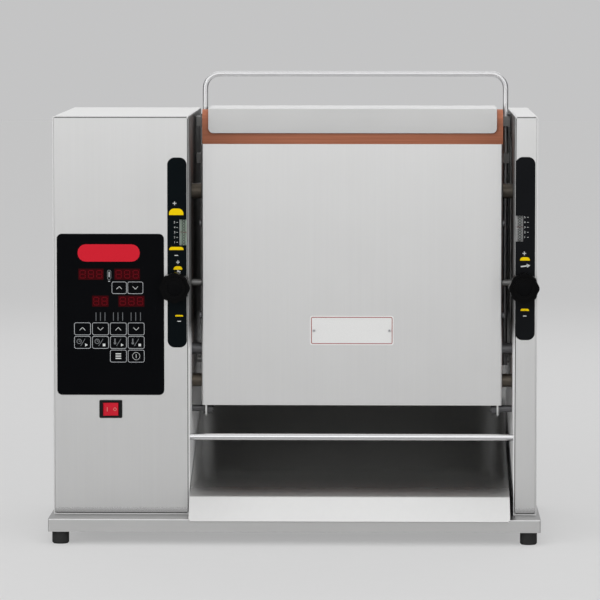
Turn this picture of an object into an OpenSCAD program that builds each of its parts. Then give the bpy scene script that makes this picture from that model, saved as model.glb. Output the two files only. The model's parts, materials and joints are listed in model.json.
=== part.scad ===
// Vertical contact toaster: base and towers, contact platen with release sheet, belt conveyor,
// compression adjusters, discharge chute and controls. Millimetres, Z up, front towards -Y.
// The origin lies under the middle of the whole outline, on the table.

/* [Base] */
// width of the base pan
base_w = 579; // [520:1:640]
// depth of the base pan
base_d = 370; // [350:1:420]
// height of the base pan
base_h = 15; // [12:1:24]
// height of each foot
foot_h = 15; // [10:1:30]
// diameter of each foot
foot_d = 20; // [16:1:28]

/* [Towers] */
// set-in of the towers from the base sides
side_step = 3.5; // [2:0.5:6]
// height of the towers over the base
tower_h = 472; // [460:1:520]
// set-in of the towers from the base rear
back_step = 3; // [2:0.5:6]
// width of the control tower
left_w = 161; // [155:1:175]
// width of the narrow tower
right_w = 27.5; // [26.5:0.5:45]
// thickness of the tower sheet
sheet_t = 1.5; // [1:0.1:2]
// set-back of the towers from the base front
front_step = 47; // [44:1:49]

/* [Conveyor] */
// set-back of the cover from the tower front
cover_back = 50; // [46:1:56]
// height of the front cover
cover_h = 312; // [300:1:316]
// height of the front cover's lower edge over the base
cover_rise = 125; // [120:1:130]
// clear space beside the cover
cover_gap = 12.5; // [11:0.5:14]
// diameter of the belt rollers
roller_d = 32; // [30:1:34]
// thickness of the belt band
belt_t = 1.5; // [1:0.1:2]
// height of the drive shaft over the base
drive_rise = 380; // [374:1:388]
// height of the idler shaft over the base
idler_rise = 153; // [148:1:160]
// diameter of the drive shaft
shaft_d = 12; // [10:0.5:14]

/* [Platen] */
// space left for the bread
bun_gap = 24; // [18:1:30]
// thickness of the platen
platen_t = 32; // [28:1:34]
// clear space beside the release sheet
sheet_gap = 10.5; // [7:0.5:12]
// set-in of the feed cap from the sheet's edges
cap_in = 7.5; // [7:0.5:14]
// height of the cap's front flange
cap_h = 30; // [22:1:36]
// depth of the cap's top
cap_d = 108; // [100:1:120]

/* [Adjusters] */
// diameter over the knob lobes
knob_d = 36; // [30:1:40]
// length of the knobs
knob_len = 24; // [18:1:30]
// height of the knobs over the base
knob_rise = 270.5; // [264:0.5:276]
// diameter of the adjusting screws
screw_d = 8; // [6:0.5:9]
// distance of the control tower's knob from the chamber
left_knob_in = 16; // [15.5:0.5:19]
// distance of the narrow tower's knob from the chamber
right_knob_in = 11.2; // [11:0.1:14]

/* [Discharge] */
// slope of the chute
chute_slope = 14; // [10:0.5:15]
// slope of the chute's steep front
apron_slope = 40; // [36:1:44]
// depth of the chute's steep front
apron_d = 31; // [26:1:34]
// clear space beside the chute
chute_gap = 1; // [1:0.5:5]
// gap between the chute and the narrow tower
chute_room = 5; // [3:0.5:8]
// overhang of the chute's lip past the base
chute_lip = 4; // [2:0.5:6]
// diameter of the front rod
rod_d = 8; // [6:0.5:10]

/* [Handle] */
// diameter of the handle rod
handle_d = 6.5; // [6:0.5:9]
// bend radius of the handle at its centre line
handle_bend = 18; // [14:1:24]
// height of the handle over the towers
handle_rise = 49; // [44:1:60]

/* [Hidden] */
// Every part, one file each

// Gap left between separate pieces
gap = 0.3;
// Radial play of a turning shaft
play = 0.05;
// Length by which a cut passes its face
over = 1;

// Frame
z_base = foot_h + base_h;
z_top = z_base + tower_h;
y_base = -base_d / 2;
y_front = y_base + front_step;
y_back = -y_base - back_step;
x_l0 = -base_w / 2 + side_step;
x_l1 = x_l0 + left_w;
x_r1 = -x_l0;
x_r0 = x_r1 - right_w;
x_mid = (x_l1 + x_r0) / 2;
half_gap = (x_r0 - x_l1) / 2;
wrap_r = 3;
base_t = 1.5;
sill_d = 16;
foot_in = 14;

// Conveyor
cover_t = 1.2;
y_cover = y_front + cover_back;
half_cover = half_gap - cover_gap;
z_cover = z_base + cover_rise;
cover_flange = 13.5;
rib_h = 0.8;
belt_in = roller_d / 2 + gap;
belt_out = belt_in + belt_t;
rib_out = belt_out + rib_h;
y_conv = y_cover + cover_t + rib_out + 3.7;
z_drive = z_base + drive_rise;
z_idler = z_base + idler_rise;
plate_t = 2;
half_plate = half_cover - cover_t - 2.8;
plate_side = rib_out + 0.6;
belt_half = half_plate - plate_t - 3;
lane_gap = 6;
tie_d = 8;
z_tie_up = z_idler + 38;
z_tie_low = z_idler - 34;
pin_d = 6;
pin_head = 9;
y_pin = y_cover + cover_t + 6.3;
z_pin_low = z_cover + cover_h * 0.345;
z_pin_up = z_cover + cover_h * 0.697;
bush_wall = 3;
cover_travel = 12;

// Platen
y_sheet = y_conv + rib_out + bun_gap;
release_t = 0.8;
y_platen = y_sheet + release_t + gap;
y_platen1 = y_platen + platen_t;
half_sheet = half_gap - sheet_gap;
half_platen = half_sheet - 4.5;
z_platen0 = z_cover + 10;
z_platen1 = z_top + 3;
platen_r = 11;
z_sheet1 = z_platen1 + gap + release_t;
cap_t = 1.2;
z_cap = z_sheet1 + gap;
y_cap = y_sheet - 2.6;
half_cap = half_sheet - cap_in;
cap_travel = 25;
notch_d = 15;
notch_in = half_cap - 58;
house_t = 1.2;
half_house = half_platen - 6;
y_house0 = y_platen1 + release_t + 2 * gap + 1;
y_house1 = y_cap + cap_d - 5;
z_house0 = z_cover + 25;
z_house1 = z_cap - gap;
stud_d = 10;
heater_d = 10;
heater_n = 4;

// Handle
half_handle = half_gap - 9;
x_handle = x_mid + 3;
y_handle = y_house0 + 22;
z_handle = z_top + handle_rise - handle_d / 2;
z_lug_up = z_house1 - 16;
z_lug_low = z_lug_up - 45;
lug_h = 12;

// Adjusters
knob_x = [x_l1 - left_knob_in, x_r0 + right_knob_in];
z_knob = z_base + knob_rise;
tooth_n = 10;
tooth_m = 1;
pitch_r = tooth_n * tooth_m / 2;
back_lash = 0.45;
y_gear0 = y_front + sheet_t + 3.5;
y_gear1 = y_gear0 + 3;
y_screw1 = y_conv + 30;
nut_l = 14;
nut_h = 14;
press_bar = 8;
press_t = 2.5;
y_press = y_conv + 7.5;
press_low = z_tie_up + 12;
press_top = z_drive - 24;
slot_half = 10;
rack_low = 26;
rack_high = 26;
win_w = 8;
win_z0 = [z_knob + 49, z_knob + 54];
win_h = 30.5;
gauge_travel = 13.1;
tab_t = 1.2;
pointer_rise = [win_z0[0] + win_h / 2, win_z0[1] + win_h / 2];

// Drive
pulley_r = 18;
pulley_w = 9;
groove_n = 24;
groove_r = 1.3;
timing_t = 2;
timing_drop = 152;
x_timing = x_l1 - 43;
z_motor = z_drive - timing_drop;
motor_shaft = 10;

// Controls
label_t = 0.8;
label_r = 8.5;
post_l = 16;
panel_t = 1;
mem_x0 = x_l0 + 4.7;
mem_x1 = x_l0 + 131.4;
mem_z0 = z_base + 142;
mem_z1 = z_base + 333;
rock_x = x_l0 + 68;
rock_z = z_base + 125.3;
rock_w = 18.5;
rock_h = 15;
rock_tilt = 8;
rock_r = rock_w / 2;
y_rock = y_front - 0.5;
bezel_w = 27;
bezel_h = 21.3;
bezel_t = 2.2;
fan_x = x_l0 + 62;
fan_z = z_base + 330;
fan_r = 38;
fan_t = 24;
y_fan = y_back - sheet_t - fan_t;
gland_x = x_l0 + 100;
gland_z = z_base + 60;
gland_out = back_step + chute_lip;

// Discharge
rear_rise = 8;
rear_pitch = 18;
bracket_in = 20;
x_chute0 = x_l1 + chute_gap;
x_chute1 = x_r0 - chute_room;
chute_t = 1.2;
y_chute0 = y_base - chute_lip;
y_chute1 = y_back - 18;
z_chute0 = z_base + gap - chute_lip * tan(apron_slope);
y_bend = y_chute0 + apron_d;
z_bend = z_chute0 + apron_d * tan(apron_slope);
bend_r = 6;
y_rod = y_front + 8;
z_rod = z_base + 91.6;

$fn = 64;

// Plan shapes are raised along X, Y or Z by these
module along_x(x0, x1) {
    translate([x0, 0, 0])
        rotate([90, 0, 90])
            linear_extrude(x1 - x0)
                children();
}

module along_y(y0, y1) {
    translate([0, y1, 0])
        rotate([90, 0, 0])
            linear_extrude(y1 - y0)
                children();
}

module along_z(z0, z1) {
    translate([0, 0, z0])
        linear_extrude(z1 - z0)
            children();
}

// Rectangle between two corners
module box2(x0, y0, x1, y1) {
    translate([x0, y0])
        square([x1 - x0, y1 - y0]);
}

// Rectangle with four round corners
module round2(x0, y0, x1, y1, r) {
    box2(x0 + r, y0, x1 - r, y1);
    box2(x0, y0 + r, x1, y1 - r);
    for (x = [x0 + r, x1 - r], y = [y0 + r, y1 - r])
        translate([x, y])
            circle(r);
}

// Long round slot from one centre to another, upright
module slot2(x, y0, y1, r) {
    box2(x - r, y0, x + r, y1);
    for (y = [y0, y1])
        translate([x, y])
            circle(r);
}

module box3(x0, y0, z0, x1, y1, z1) {
    translate([x0, y0, z0])
        cube([x1 - x0, y1 - y0, z1 - z0]);
}

module rod_x(x0, x1, y, z, d) {
    translate([x0, y, z])
        rotate([0, 90, 0])
            cylinder(h = x1 - x0, d = d);
}

module rod_y(x, y0, y1, z, d) {
    translate([x, y1, z])
        rotate([90, 0, 0])
            cylinder(h = y1 - y0, d = d);
}

module rod_z(x, y, z0, z1, d) {
    translate([x, y, z0])
        cylinder(h = z1 - z0, d = d);
}

// Base

module foot_spots() {
    for (x = [-1, 1], y = [-1, 1])
        translate([x * (base_w / 2 - foot_in), y * (base_d / 2 - foot_in), 0])
            children();
}

module base_pan() {
    lip = 30;
    color("lightgray")
        difference() {
            along_z(foot_h, z_base)
                round2(-base_w / 2, y_base, base_w / 2, -y_base, 3);
            along_z(foot_h + base_t, z_base - base_t)
                round2(-base_w / 2 + base_t, y_base + base_t, base_w / 2 - base_t,
                    -y_base - base_t, 1.5);
            along_z(foot_h - over, foot_h + base_t + over)
                round2(-base_w / 2 + lip, y_base + lip, base_w / 2 - lip, -y_base - lip, 6);
            foot_spots()
                rod_z(0, 0, foot_h - over, foot_h + base_t + over, 6.4);
        }
}

module feet() {
    stud = 6;
    color("dimgray")
        foot_spots() {
            rotate_extrude()
                polygon([[4, 0], [foot_d / 2 - 1.5, 0], [foot_d / 2, 1.5],
                    [foot_d / 2, foot_h], [0, foot_h], [0, 5], [4, 5]]);
            rod_z(0, 0, foot_h, foot_h + base_t + 6, stud);
        }
}

// Towers: folded wrap of two walls and a roof with inward feet

module wrap_profile(x0, x1, lip) {
    t = sheet_t;
    difference() {
        union() {
            box2(x0, z_base, x1, z_top - wrap_r);
            round2(x0, z_top - 4 * wrap_r, x1, z_top, wrap_r);
        }
        box2(x0 + t, z_base + t, x1 - t, z_top - wrap_r);
        round2(x0 + t, z_top - 4 * wrap_r, x1 - t, z_top - t, wrap_r - t);
        box2(x0 + lip, z_base - over, x1 - lip, z_base + t + over);
    }
}

// Floor strip under a tower's front panel
module wrap_sill(x0, x1) {
    box3(x0 + 0.5, y_front, z_base, x1 - 0.5, y_front + sill_d, z_base + sheet_t);
}

// Holes that shafts, rods and adjusters need in a chamber wall
module wall_holes(x0, x1) {
    rod_x(x0, x1, y_conv, z_drive, shaft_d + 2 * bush_wall + 2 * gap);
    rod_x(x0, x1, y_conv, z_idler, shaft_d - 2 + 2 * bush_wall + 2 * gap);
    rod_x(x0, x1, y_conv, z_tie_up, tie_d + 2 * gap);
    rod_x(x0, x1, y_conv, z_tie_low, tie_d + 2 * gap);
    rod_x(x0, x1, y_rod, z_rod, rod_d + 2 * gap);
    along_x(x0, x1) {
        box2(y_conv - slot_half, z_knob - press_bar / 2 - gap, y_conv + slot_half,
            z_knob + press_bar / 2 + gap);
        for (y = [-1, 1])
            translate([y_conv + y * slot_half, z_knob])
                circle(press_bar / 2 + gap);
    }
}

module left_wrap() {
    color("silver")
        difference() {
            union() {
                along_y(y_front, y_back)
                    wrap_profile(x_l0, x_l1, 14);
                wrap_sill(x_l0, x_l1);
            }
            wall_holes(x_l1 - sheet_t - over, x_l1 + over);
        }
}

module right_wrap() {
    // Open service window behind the platen's end
    win_y0 = y_sheet - 11;
    win_y1 = y_house1 - 26;
    color("silver")
        difference() {
            union() {
                along_y(y_front, y_back)
                    wrap_profile(x_r0, x_r1, 9);
                wrap_sill(x_r0, x_r1);
            }
            wall_holes(x_r0 - over, x_r0 + sheet_t + over);
            along_x(x_r0 - over, x_r0 + sheet_t + over)
                round2(win_y0, z_house0 + 30, win_y1, z_house1 - 30, 4);
        }
}

// A tower front: face, and flanges folded back inside the wrap
module front_tray(x0, x1) {
    t = sheet_t;
    a = x0 + t + gap;
    b = x1 - t - gap;
    c = z_base + t + gap;
    d = z_top - t - gap;
    flange = 10;
    difference() {
        along_y(y_front, y_front + flange)
            round2(a, c, b, d, wrap_r - t);
        along_y(y_front + t, y_front + flange + over)
            box2(a + t, c + t, b - t, d - t);
        along_y(y_front - over, y_front + flange + over)
            children();
    }
}

module left_front_panel() {
    color("silver")
        difference() {
            front_tray(x_l0, x_l1) {
                round2(mem_x0 + 18, mem_z0 + 30, mem_x1 - 14, mem_z1 - 8, 4);
                box2(rock_x - 12, rock_z - 9, rock_x + 12, rock_z + 9);
                translate([knob_x[0], z_knob])
                    circle(screw_d / 2 + play);
                box2(x_l1 - sheet_t - 1 - win_w, win_z0[0], x_l1 - sheet_t - 1,
                    win_z0[0] + win_h);
            }
            flange_relief(0);
        }
}

module right_front_panel() {
    color("silver")
        difference() {
            front_tray(x_r0, x_r1) {
                translate([knob_x[1], z_knob])
                    circle(screw_d / 2 + play);
                box2(x_r0 + sheet_t + 1, win_z0[1], x_r0 + sheet_t + 1 + win_w,
                    win_z0[1] + win_h);
            }
            flange_relief(1);
        }
}

// The pointer strip and the front rod pass close to the fold, so it is cut away beside them
module flange_relief(side) {
    x_wall = side == 0 ? x_l1 : x_r0;
    z_low = z_knob - rack_low - 22;
    z_high = win_z0[side] + win_h + 2 * gauge_travel + 6;
    for (z = [[z_low, z_high], [z_rod - rod_d, z_rod + rod_d]])
        box3(x_wall - 6, y_front + sheet_t, z[0], x_wall + 6, y_front + 12, z[1]);
}

module left_rear_panel() {
    t = sheet_t;
    color("silver")
        difference() {
            along_y(y_back - t, y_back)
                box2(x_l0 + t + gap, z_base + t + gap, x_l1 - t - gap, z_top - t - gap);
            along_y(y_back - t - over, y_back + over) {
                for (k = [-3:3])
                    slot2(fan_x + k * 9, fan_z - sqrt(fan_r * fan_r - 81 * k * k) + 6,
                        fan_z + sqrt(fan_r * fan_r - 81 * k * k) - 6, 2.5);
                for (k = [0:5])
                    slot2(x_l0 + 30 + k * 12, z_base + 120, z_base + 160, 2.5);
                translate([gland_x, gland_z])
                    circle(10 + gap);
            }
        }
}

module right_rear_panel() {
    t = sheet_t;
    color("silver")
        along_y(y_back - t, y_back)
            box2(x_r0 + t + gap, z_base + t + gap, x_r1 - t - gap, z_top - t - gap);
}

// Controls

module membrane_panel() {
    color("black")
        along_y(y_front - panel_t, y_front)
            round2(mem_x0, mem_z0, mem_x1, mem_z1, 6);
}

// Stuck-on scale with a window over the pointer and a hole round the knob's screw
module scale_label(x0, x1, z0, z1, k, wx0, wx1) {
    along_y(y_front - label_t, y_front)
        difference() {
            round2(x0, z0, x1, z1, label_r);
            box2(wx0, win_z0[k], wx1, win_z0[k] + win_h);
            translate([knob_x[k], z_knob])
                circle(screw_d / 2 + 1);
        }
}

module left_scale_label() {
    color("black")
        scale_label(x_l1 - 25.5, x_l1 - 2.7, z_knob - 72, z_knob + 152.6, 0,
            x_l1 - 11, x_l1);
}

module right_scale_label() {
    color("black")
        scale_label(x_r0 + 1.2, x_r1 - 3.1, z_knob - 62.5, z_knob + 153.6, 1,
            x_r0, x_r0 + sheet_t + win_w + 0.8);
}

module rocker_bezel() {
    cavity = 15;
    color("black")
        difference() {
            union() {
                along_y(y_front - bezel_t, y_front)
                    round2(rock_x - bezel_w / 2, rock_z - bezel_h / 2, rock_x + bezel_w / 2,
                        rock_z + bezel_h / 2, 1.5);
                box3(rock_x - 11.7, y_front, rock_z - 8.7, rock_x + 11.7, y_front + 22,
                    rock_z + 8.7);
            }
            box3(rock_x - rock_r - gap, y_front - bezel_t - over, rock_z - rock_h / 2 - gap,
                rock_x + rock_r + gap, y_front + cavity, rock_z + rock_h / 2 + gap);
            rod_z(rock_x, y_rock, rock_z - rock_h / 2 - 1.3, rock_z + rock_h / 2 + 1.3,
                2.5 + 2 * play);
        }
}

// The rocker is drawn with its right side pressed in
module power_rocker() {
    color("red")
        translate([rock_x, y_rock, rock_z]) {
            intersection() {
                cylinder(h = rock_h, r = rock_r, center = true);
                rotate([0, 0, rock_tilt])
                    linear_extrude(rock_h, center = true)
                        polygon([[-rock_w, -5.4], [0, -3.6], [rock_w, -5.4], [rock_w, 4],
                            [-rock_w, 4]]);
            }
            cylinder(h = rock_h + 2, d = 2.5, center = true);
        }
}

// Adjusters

module adjust_knob(k) {
    lobes = 8;
    lobe_r = knob_d * 0.2;
    y0 = y_front - label_t - 1 - knob_len;
    difference() {
        union() {
            along_y(y0 + 3, y0 + knob_len)
                translate([knob_x[k], z_knob]) {
                    circle(knob_d / 2 - 1.2);
                    for (a = [0:lobes - 1])
                        rotate(a * 360 / lobes)
                            translate([knob_d / 2 - lobe_r, 0])
                                circle(lobe_r);
                }
            rod_y(knob_x[k], y0, y0 + 4, z_knob, knob_d * 0.72);
        }
        rod_y(knob_x[k], y0 - over, y0 + 1.6, z_knob, knob_d * 0.5);
        rod_y(knob_x[k], y0 + 8, y0 + knob_len + over, z_knob, screw_d + 0.02);
    }
}

module left_knob() {
    color("dimgray")
        adjust_knob(0);
}

module right_knob() {
    color("dimgray")
        adjust_knob(1);
}

// Straight-flanked pinion, a tooth pointing along +X and one along -X
module pinion2() {
    ra = pitch_r + 0.8 * tooth_m;
    rf = pitch_r - 1.25 * tooth_m;
    half = (PI * tooth_m / 2 - back_lash) / 2;
    circle(rf);
    for (a = [0:tooth_n - 1])
        rotate(a * 360 / tooth_n)
            polygon([[rf - 0.6, -half - 0.25], [pitch_r, -half], [ra, -half * 0.35],
                [ra, half * 0.35], [pitch_r, half], [rf - 0.6, half + 0.25]]);
}

module adjust_screw(k) {
    knob_back = y_front - label_t - 1;
    difference() {
        union() {
            rod_y(knob_x[k], knob_back - knob_len + 8 + gap, y_screw1, z_knob, screw_d);
            // Collars that keep the screw from sliding
            rod_y(knob_x[k], y_front + sheet_t + gap, y_gear0, z_knob, pitch_r * 1.7);
            along_y(y_gear0, y_gear1)
                translate([knob_x[k], z_knob])
                    pinion2();
        }
    }
}

module left_adjust_screw() {
    color("gainsboro")
        adjust_screw(0);
}

module right_adjust_screw() {
    color("gainsboro")
        adjust_screw(1);
}

// The nut reaches from its screw to within the chamber wall
module adjust_nut(k) {
    wall = k == 0 ? x_l1 - sheet_t - 1 : x_r0 + sheet_t + 1;
    out = screw_d / 2 + 3;
    a = k == 0 ? knob_x[0] - out : wall;
    b = k == 0 ? wall : knob_x[1] + out;
    bar_a = k == 0 ? knob_x[0] + screw_d / 2 + 1 : wall - over;
    bar_b = k == 0 ? wall + over : knob_x[1] - screw_d / 2 - 1;
    difference() {
        box3(a, y_conv - nut_l / 2, z_knob - nut_h / 2, b, y_conv + nut_l / 2,
            z_knob + nut_h / 2);
        rod_y(knob_x[k], y_conv - nut_l, y_conv + nut_l, z_knob, screw_d + 2 * play);
        rod_x(bar_a, bar_b, y_conv, z_knob, press_bar);
    }
}

module left_adjust_nut() {
    color("goldenrod")
        adjust_nut(0);
}

module right_adjust_nut() {
    color("goldenrod")
        adjust_nut(1);
}

// Toothed strip driven by the pinion, with a tab that shows in the window
module pointer_strip(k) {
    s = k == 0 ? 1 : -1;
    wall = k == 0 ? x_l1 - sheet_t - 1 : x_r0 + sheet_t + 1;
    root = knob_x[k] + s * (pitch_r + 1.2 * tooth_m);
    wide = wall - s * (win_w + 0.6);
    half = (PI * tooth_m / 2 - back_lash) / 2;
    pitch = PI * tooth_m;
    z1 = pointer_rise[k];
    along_y(y_gear0, y_gear1) {
        box2(min(root, wall), z_knob - rack_low, max(root, wall), z_knob + rack_high + over);
        box2(min(wide, wall), z_knob + rack_high, max(wide, wall),
            win_z0[k] + win_h + gauge_travel + 2);
        for (i = [-8:7])
            translate([knob_x[k] + s * pitch_r, z_knob + (i + 0.5) * pitch])
                scale([s, 1])
                    polygon([[1.5, -half - 0.45], [0, -half], [-0.8, -half + 0.29],
                        [-0.8, half - 0.29], [0, half], [1.5, half + 0.45]]);
    }
    // Tab that stands forward into the window
    box3(min(wall, wall - s * 4), y_front - label_t, z1 - tab_t / 2, max(wall, wall - s * 4),
        y_gear0 + over, z1 + tab_t / 2);
}

module left_pointer() {
    color("gainsboro")
        pointer_strip(0);
}

module right_pointer() {
    color("gainsboro")
        pointer_strip(1);
}

// Straps behind the strips, fixed to the chamber walls
module pointer_guides() {
    color("gray")
        for (k = [0, 1]) {
            s = k == 0 ? 1 : -1;
            wall = k == 0 ? x_l1 - sheet_t : x_r0 + sheet_t;
            far = k == 0 ? wall - 12 : wall + 10;
            for (z = [z_knob - rack_low + 4, win_z0[k] - 10])
                box3(min(wall, far), y_gear1 + gap, z - 5, max(wall, far), y_gear1 + gap + 3,
                    z + 5);
        }
}

// Conveyor

module side_plate(x0, x1) {
    along_x(x0, x1)
        difference() {
            round2(y_conv - plate_side, z_tie_low - 8, y_conv + plate_side,
                z_drive + plate_side, 6);
            translate([y_conv, z_drive])
                circle(shaft_d / 2 + bush_wall + gap);
            translate([y_conv, z_idler])
                circle(shaft_d / 2 - 1 + bush_wall + gap);
            for (z = [z_tie_up, z_tie_low])
                translate([y_conv, z])
                    circle(tie_d / 2 + 0.02);
            for (z = [z_pin_up, z_pin_low])
                translate([y_pin, z])
                    circle(pin_d / 2 + 0.02);
            box2(y_conv - slot_half, z_knob - press_bar / 2 - gap, y_conv + slot_half,
                z_knob + press_bar / 2 + gap);
            for (y = [-1, 1])
                translate([y_conv + y * slot_half, z_knob])
                    circle(press_bar / 2 + gap);
        }
}

module conveyor_side_plates() {
    color("silver") {
        side_plate(x_mid - half_plate, x_mid - half_plate + plate_t);
        side_plate(x_mid + half_plate - plate_t, x_mid + half_plate);
    }
}

// A length of rod on one side, from u to v off the middle
module side_rod(s, u, v, z, d) {
    rod_x(x_mid + min(s * u, s * v), x_mid + max(s * u, s * v), y_conv, z, d);
}

// Upper rod from wall to wall with spacer shoulders in the side gaps, and a stud each side below
module conveyor_tie_rods() {
    end = half_gap + sheet_t + 9;
    inner = half_plate - plate_t;
    nut = 14;
    nut_t = 5;
    color("gainsboro") {
        rod_x(x_mid - end, x_mid + end, y_conv, z_tie_up, tie_d);
        for (s = [-1, 1]) {
            side_rod(s, half_plate, half_gap, z_tie_up, nut);
            side_rod(s, inner - nut_t - 2, end, z_tie_low, tie_d);
            side_rod(s, inner - nut_t, inner, z_tie_low, nut);
            side_rod(s, half_plate, half_plate + 3, z_tie_low, nut);
            for (z = [z_tie_up, z_tie_low])
                side_rod(s, half_gap + sheet_t, half_gap + sheet_t + nut_t, z, nut);
        }
    }
}

module cover_keyhole(z) {
    slot2(y_pin, z - cover_travel, z, pin_d / 2 + gap);
    translate([y_pin, z - cover_travel])
        circle(pin_head / 2 + gap);
}

module front_cover() {
    z1 = z_cover + cover_h;
    r = 2;
    a = x_mid - half_cover;
    b = x_mid + half_cover;
    t = cover_t;
    y1 = y_cover + cover_flange;
    color("silver")
        difference() {
            along_z(z_cover, z1)
                difference() {
                    union() {
                        round2(a, y_cover, b, y_cover + 3 * r, r);
                        box2(a, y_cover + r, b, y1);
                    }
                    round2(a + t, y_cover + t, b - t, y_cover + 3 * r, r - t);
                    box2(a + t, y_cover + r, b - t, y1 + over);
                }
            along_x(a - over, b + over) {
                cover_keyhole(z_pin_up);
                cover_keyhole(z_pin_low);
            }
        }
}

module cover_pins() {
    color("gainsboro")
        for (s = [-1, 1], z = [z_pin_up, z_pin_low]) {
            p = [x_mid + s * (half_plate - plate_t), x_mid + s * (half_cover + 2.4)];
            h = [x_mid + s * (half_cover + gap), x_mid + s * (half_cover + 2.4)];
            rod_x(min(p), max(p), y_pin, z, pin_d);
            rod_x(min(h), max(h), y_pin, z, pin_head);
        }
}

module drive_shaft() {
    color("gainsboro")
        rod_x(x_timing - 8, x_r0 + sheet_t + 6, y_conv, z_drive, shaft_d);
}

module idler_shaft() {
    color("gainsboro")
        rod_x(x_l1 - sheet_t - 6, x_r0 + sheet_t + 6, y_conv, z_idler, shaft_d - 2);
}

module lane_roller(x0, x1, z, d) {
    difference() {
        rod_x(x0, x1, y_conv, z, roller_d);
        rod_x(x0 - over, x1 + over, y_conv, z, d);
    }
}

module drive_roller() {
    color("dimgray") {
        lane_roller(x_mid - belt_half, x_mid - lane_gap / 2, z_drive, shaft_d);
        lane_roller(x_mid + lane_gap / 2, x_mid + belt_half, z_drive, shaft_d);
    }
}

module idler_roller() {
    color("dimgray") {
        lane_roller(x_mid - belt_half, x_mid - lane_gap / 2, z_idler, shaft_d - 2);
        lane_roller(x_mid + lane_gap / 2, x_mid + belt_half, z_idler, shaft_d - 2);
    }
}

// Endless belt round both rollers, with cross ribs
module belt2() {
    run = z_drive - z_idler;
    n_run = floor(run / 11);
    n_end = 5;
    difference() {
        slot2(y_conv, z_idler, z_drive, belt_out);
        slot2(y_conv, z_idler, z_drive, belt_in);
    }
    for (s = [-1, 1], i = [0:n_run])
        translate([y_conv + s * (belt_out + rib_h / 2 - 0.2), z_idler + i * run / n_run])
            square([rib_h + 0.4, 2], center = true);
    for (i = [1:n_end]) {
        a = i * 180 / (n_end + 1);
        translate([y_conv, z_drive])
            rotate(a)
                translate([belt_out + rib_h / 2 - 0.2, 0])
                    square([rib_h + 0.4, 2], center = true);
        translate([y_conv, z_idler])
            rotate(a + 180)
                translate([belt_out + rib_h / 2 - 0.2, 0])
                    square([rib_h + 0.4, 2], center = true);
    }
}

module heel_belt() {
    color("darkslategray")
        along_x(x_mid - belt_half, x_mid - lane_gap / 2)
            belt2();
}

module crown_belt() {
    color("darkslategray")
        along_x(x_mid + lane_gap / 2, x_mid + belt_half)
            belt2();
}

// Plate inside the belt loop, carried by a bar that leaves through the side plate and wall
module pressure_plate(k) {
    s = k == 0 ? -1 : 1;
    wall = k == 0 ? x_l1 - sheet_t - 1 : x_r0 + sheet_t + 1;
    bar_in = knob_x[k] - s * (screw_d / 2 + 1.2);
    x_in = x_mid + s * (lane_gap / 2 + 1);
    x_out = x_mid + s * (belt_half - 2);
    ribs = [x_mid + s * 25, x_mid + s * (belt_half - 25)];
    rod_x(min(bar_in, x_in), max(bar_in, x_in), y_conv, z_knob, press_bar);
    box3(min(x_in, x_out), y_press, press_low, max(x_in, x_out), y_press + press_t, press_top);
    for (x = ribs)
        box3(x - 3, y_conv, z_knob - 3, x + 3, y_press + press_t / 2, z_knob + 3);
}

module heel_pressure_plate() {
    color("silver")
        pressure_plate(0);
}

module crown_pressure_plate() {
    color("silver")
        pressure_plate(1);
}

// Flanged bushes in the chamber walls and side plates
module flanged_bush(x, s, z, d, wall_out) {
    a = x;
    b = x + s * (wall_out);
    c = x - s * 3;
    difference() {
        union() {
            rod_x(min(a, b), max(a, b), y_conv, z, d + 2 * bush_wall);
            rod_x(min(a, c), max(a, c), y_conv, z, d + 2 * bush_wall + 8);
        }
        rod_x(min(a, b, c) - over, max(a, b, c) + over, y_conv, z, d + 2 * play);
    }
}

module shaft_bearings() {
    reach = half_gap + sheet_t - half_plate + plate_t;
    color("goldenrod")
        for (z = [z_drive, z_idler]) {
            d = z == z_drive ? shaft_d : shaft_d - 2;
            flanged_bush(x_l1 - sheet_t, 1, z, d, reach);
            flanged_bush(x_r0 + sheet_t, -1, z, d, reach);
        }
}

// Platen

// Outline of the platen in side view: round top edges
module platen2(grow, bottom) {
    a = y_platen - grow;
    b = y_platen1 + grow;
    top = z_platen1 + grow;
    r = platen_r + grow;
    box2(a, bottom, b, top - r);
    box2(a + r, bottom, b - r, top);
    for (y = [a + r, b - r])
        translate([y, top - r])
            circle(r);
}

module heater_rows() {
    for (i = [0:heater_n - 1])
        translate([0, 0, z_platen0 + 48 + i * 78])
            children();
}

module stud_spots() {
    for (s = [-1, 1], z = [z_platen0 + 70, z_platen0 + 226])
        translate([x_mid + s * (half_house - 40), 0, z])
            children();
}

module platen() {
    color("lightgray")
        difference() {
            union() {
                along_x(x_mid - half_platen, x_mid + half_platen)
                    platen2(0, z_platen0);
                stud_spots()
                    rod_y(0, y_platen1 - over, y_house1 - house_t, 0, stud_d);
            }
            heater_rows()
                rod_x(x_mid - half_platen - over, x_mid + half_platen - 20,
                    (y_platen + y_platen1) / 2, 0, heater_d + 2 * gap);
            rod_y(x_mid + 30, y_platen + 12, y_platen1 + over, z_platen0 + 135, 6 + 2 * gap);
        }
}

module heating_elements() {
    y = (y_platen + y_platen1) / 2;
    color("dimgray")
        heater_rows() {
            rod_x(x_mid - half_platen, x_mid + half_platen - 22, y, 0, heater_d);
            rod_x(x_mid - half_platen - 3, x_mid - half_platen, y, 0, heater_d + 5);
        }
}

module temperature_probe() {
    color("gainsboro") {
        rod_y(x_mid + 30, y_platen + 13, y_house0 + 8, z_platen0 + 135, 6);
        rod_y(x_mid + 30, y_platen1 + gap, y_platen1 + 6, z_platen0 + 135, 12);
    }
}

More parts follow.
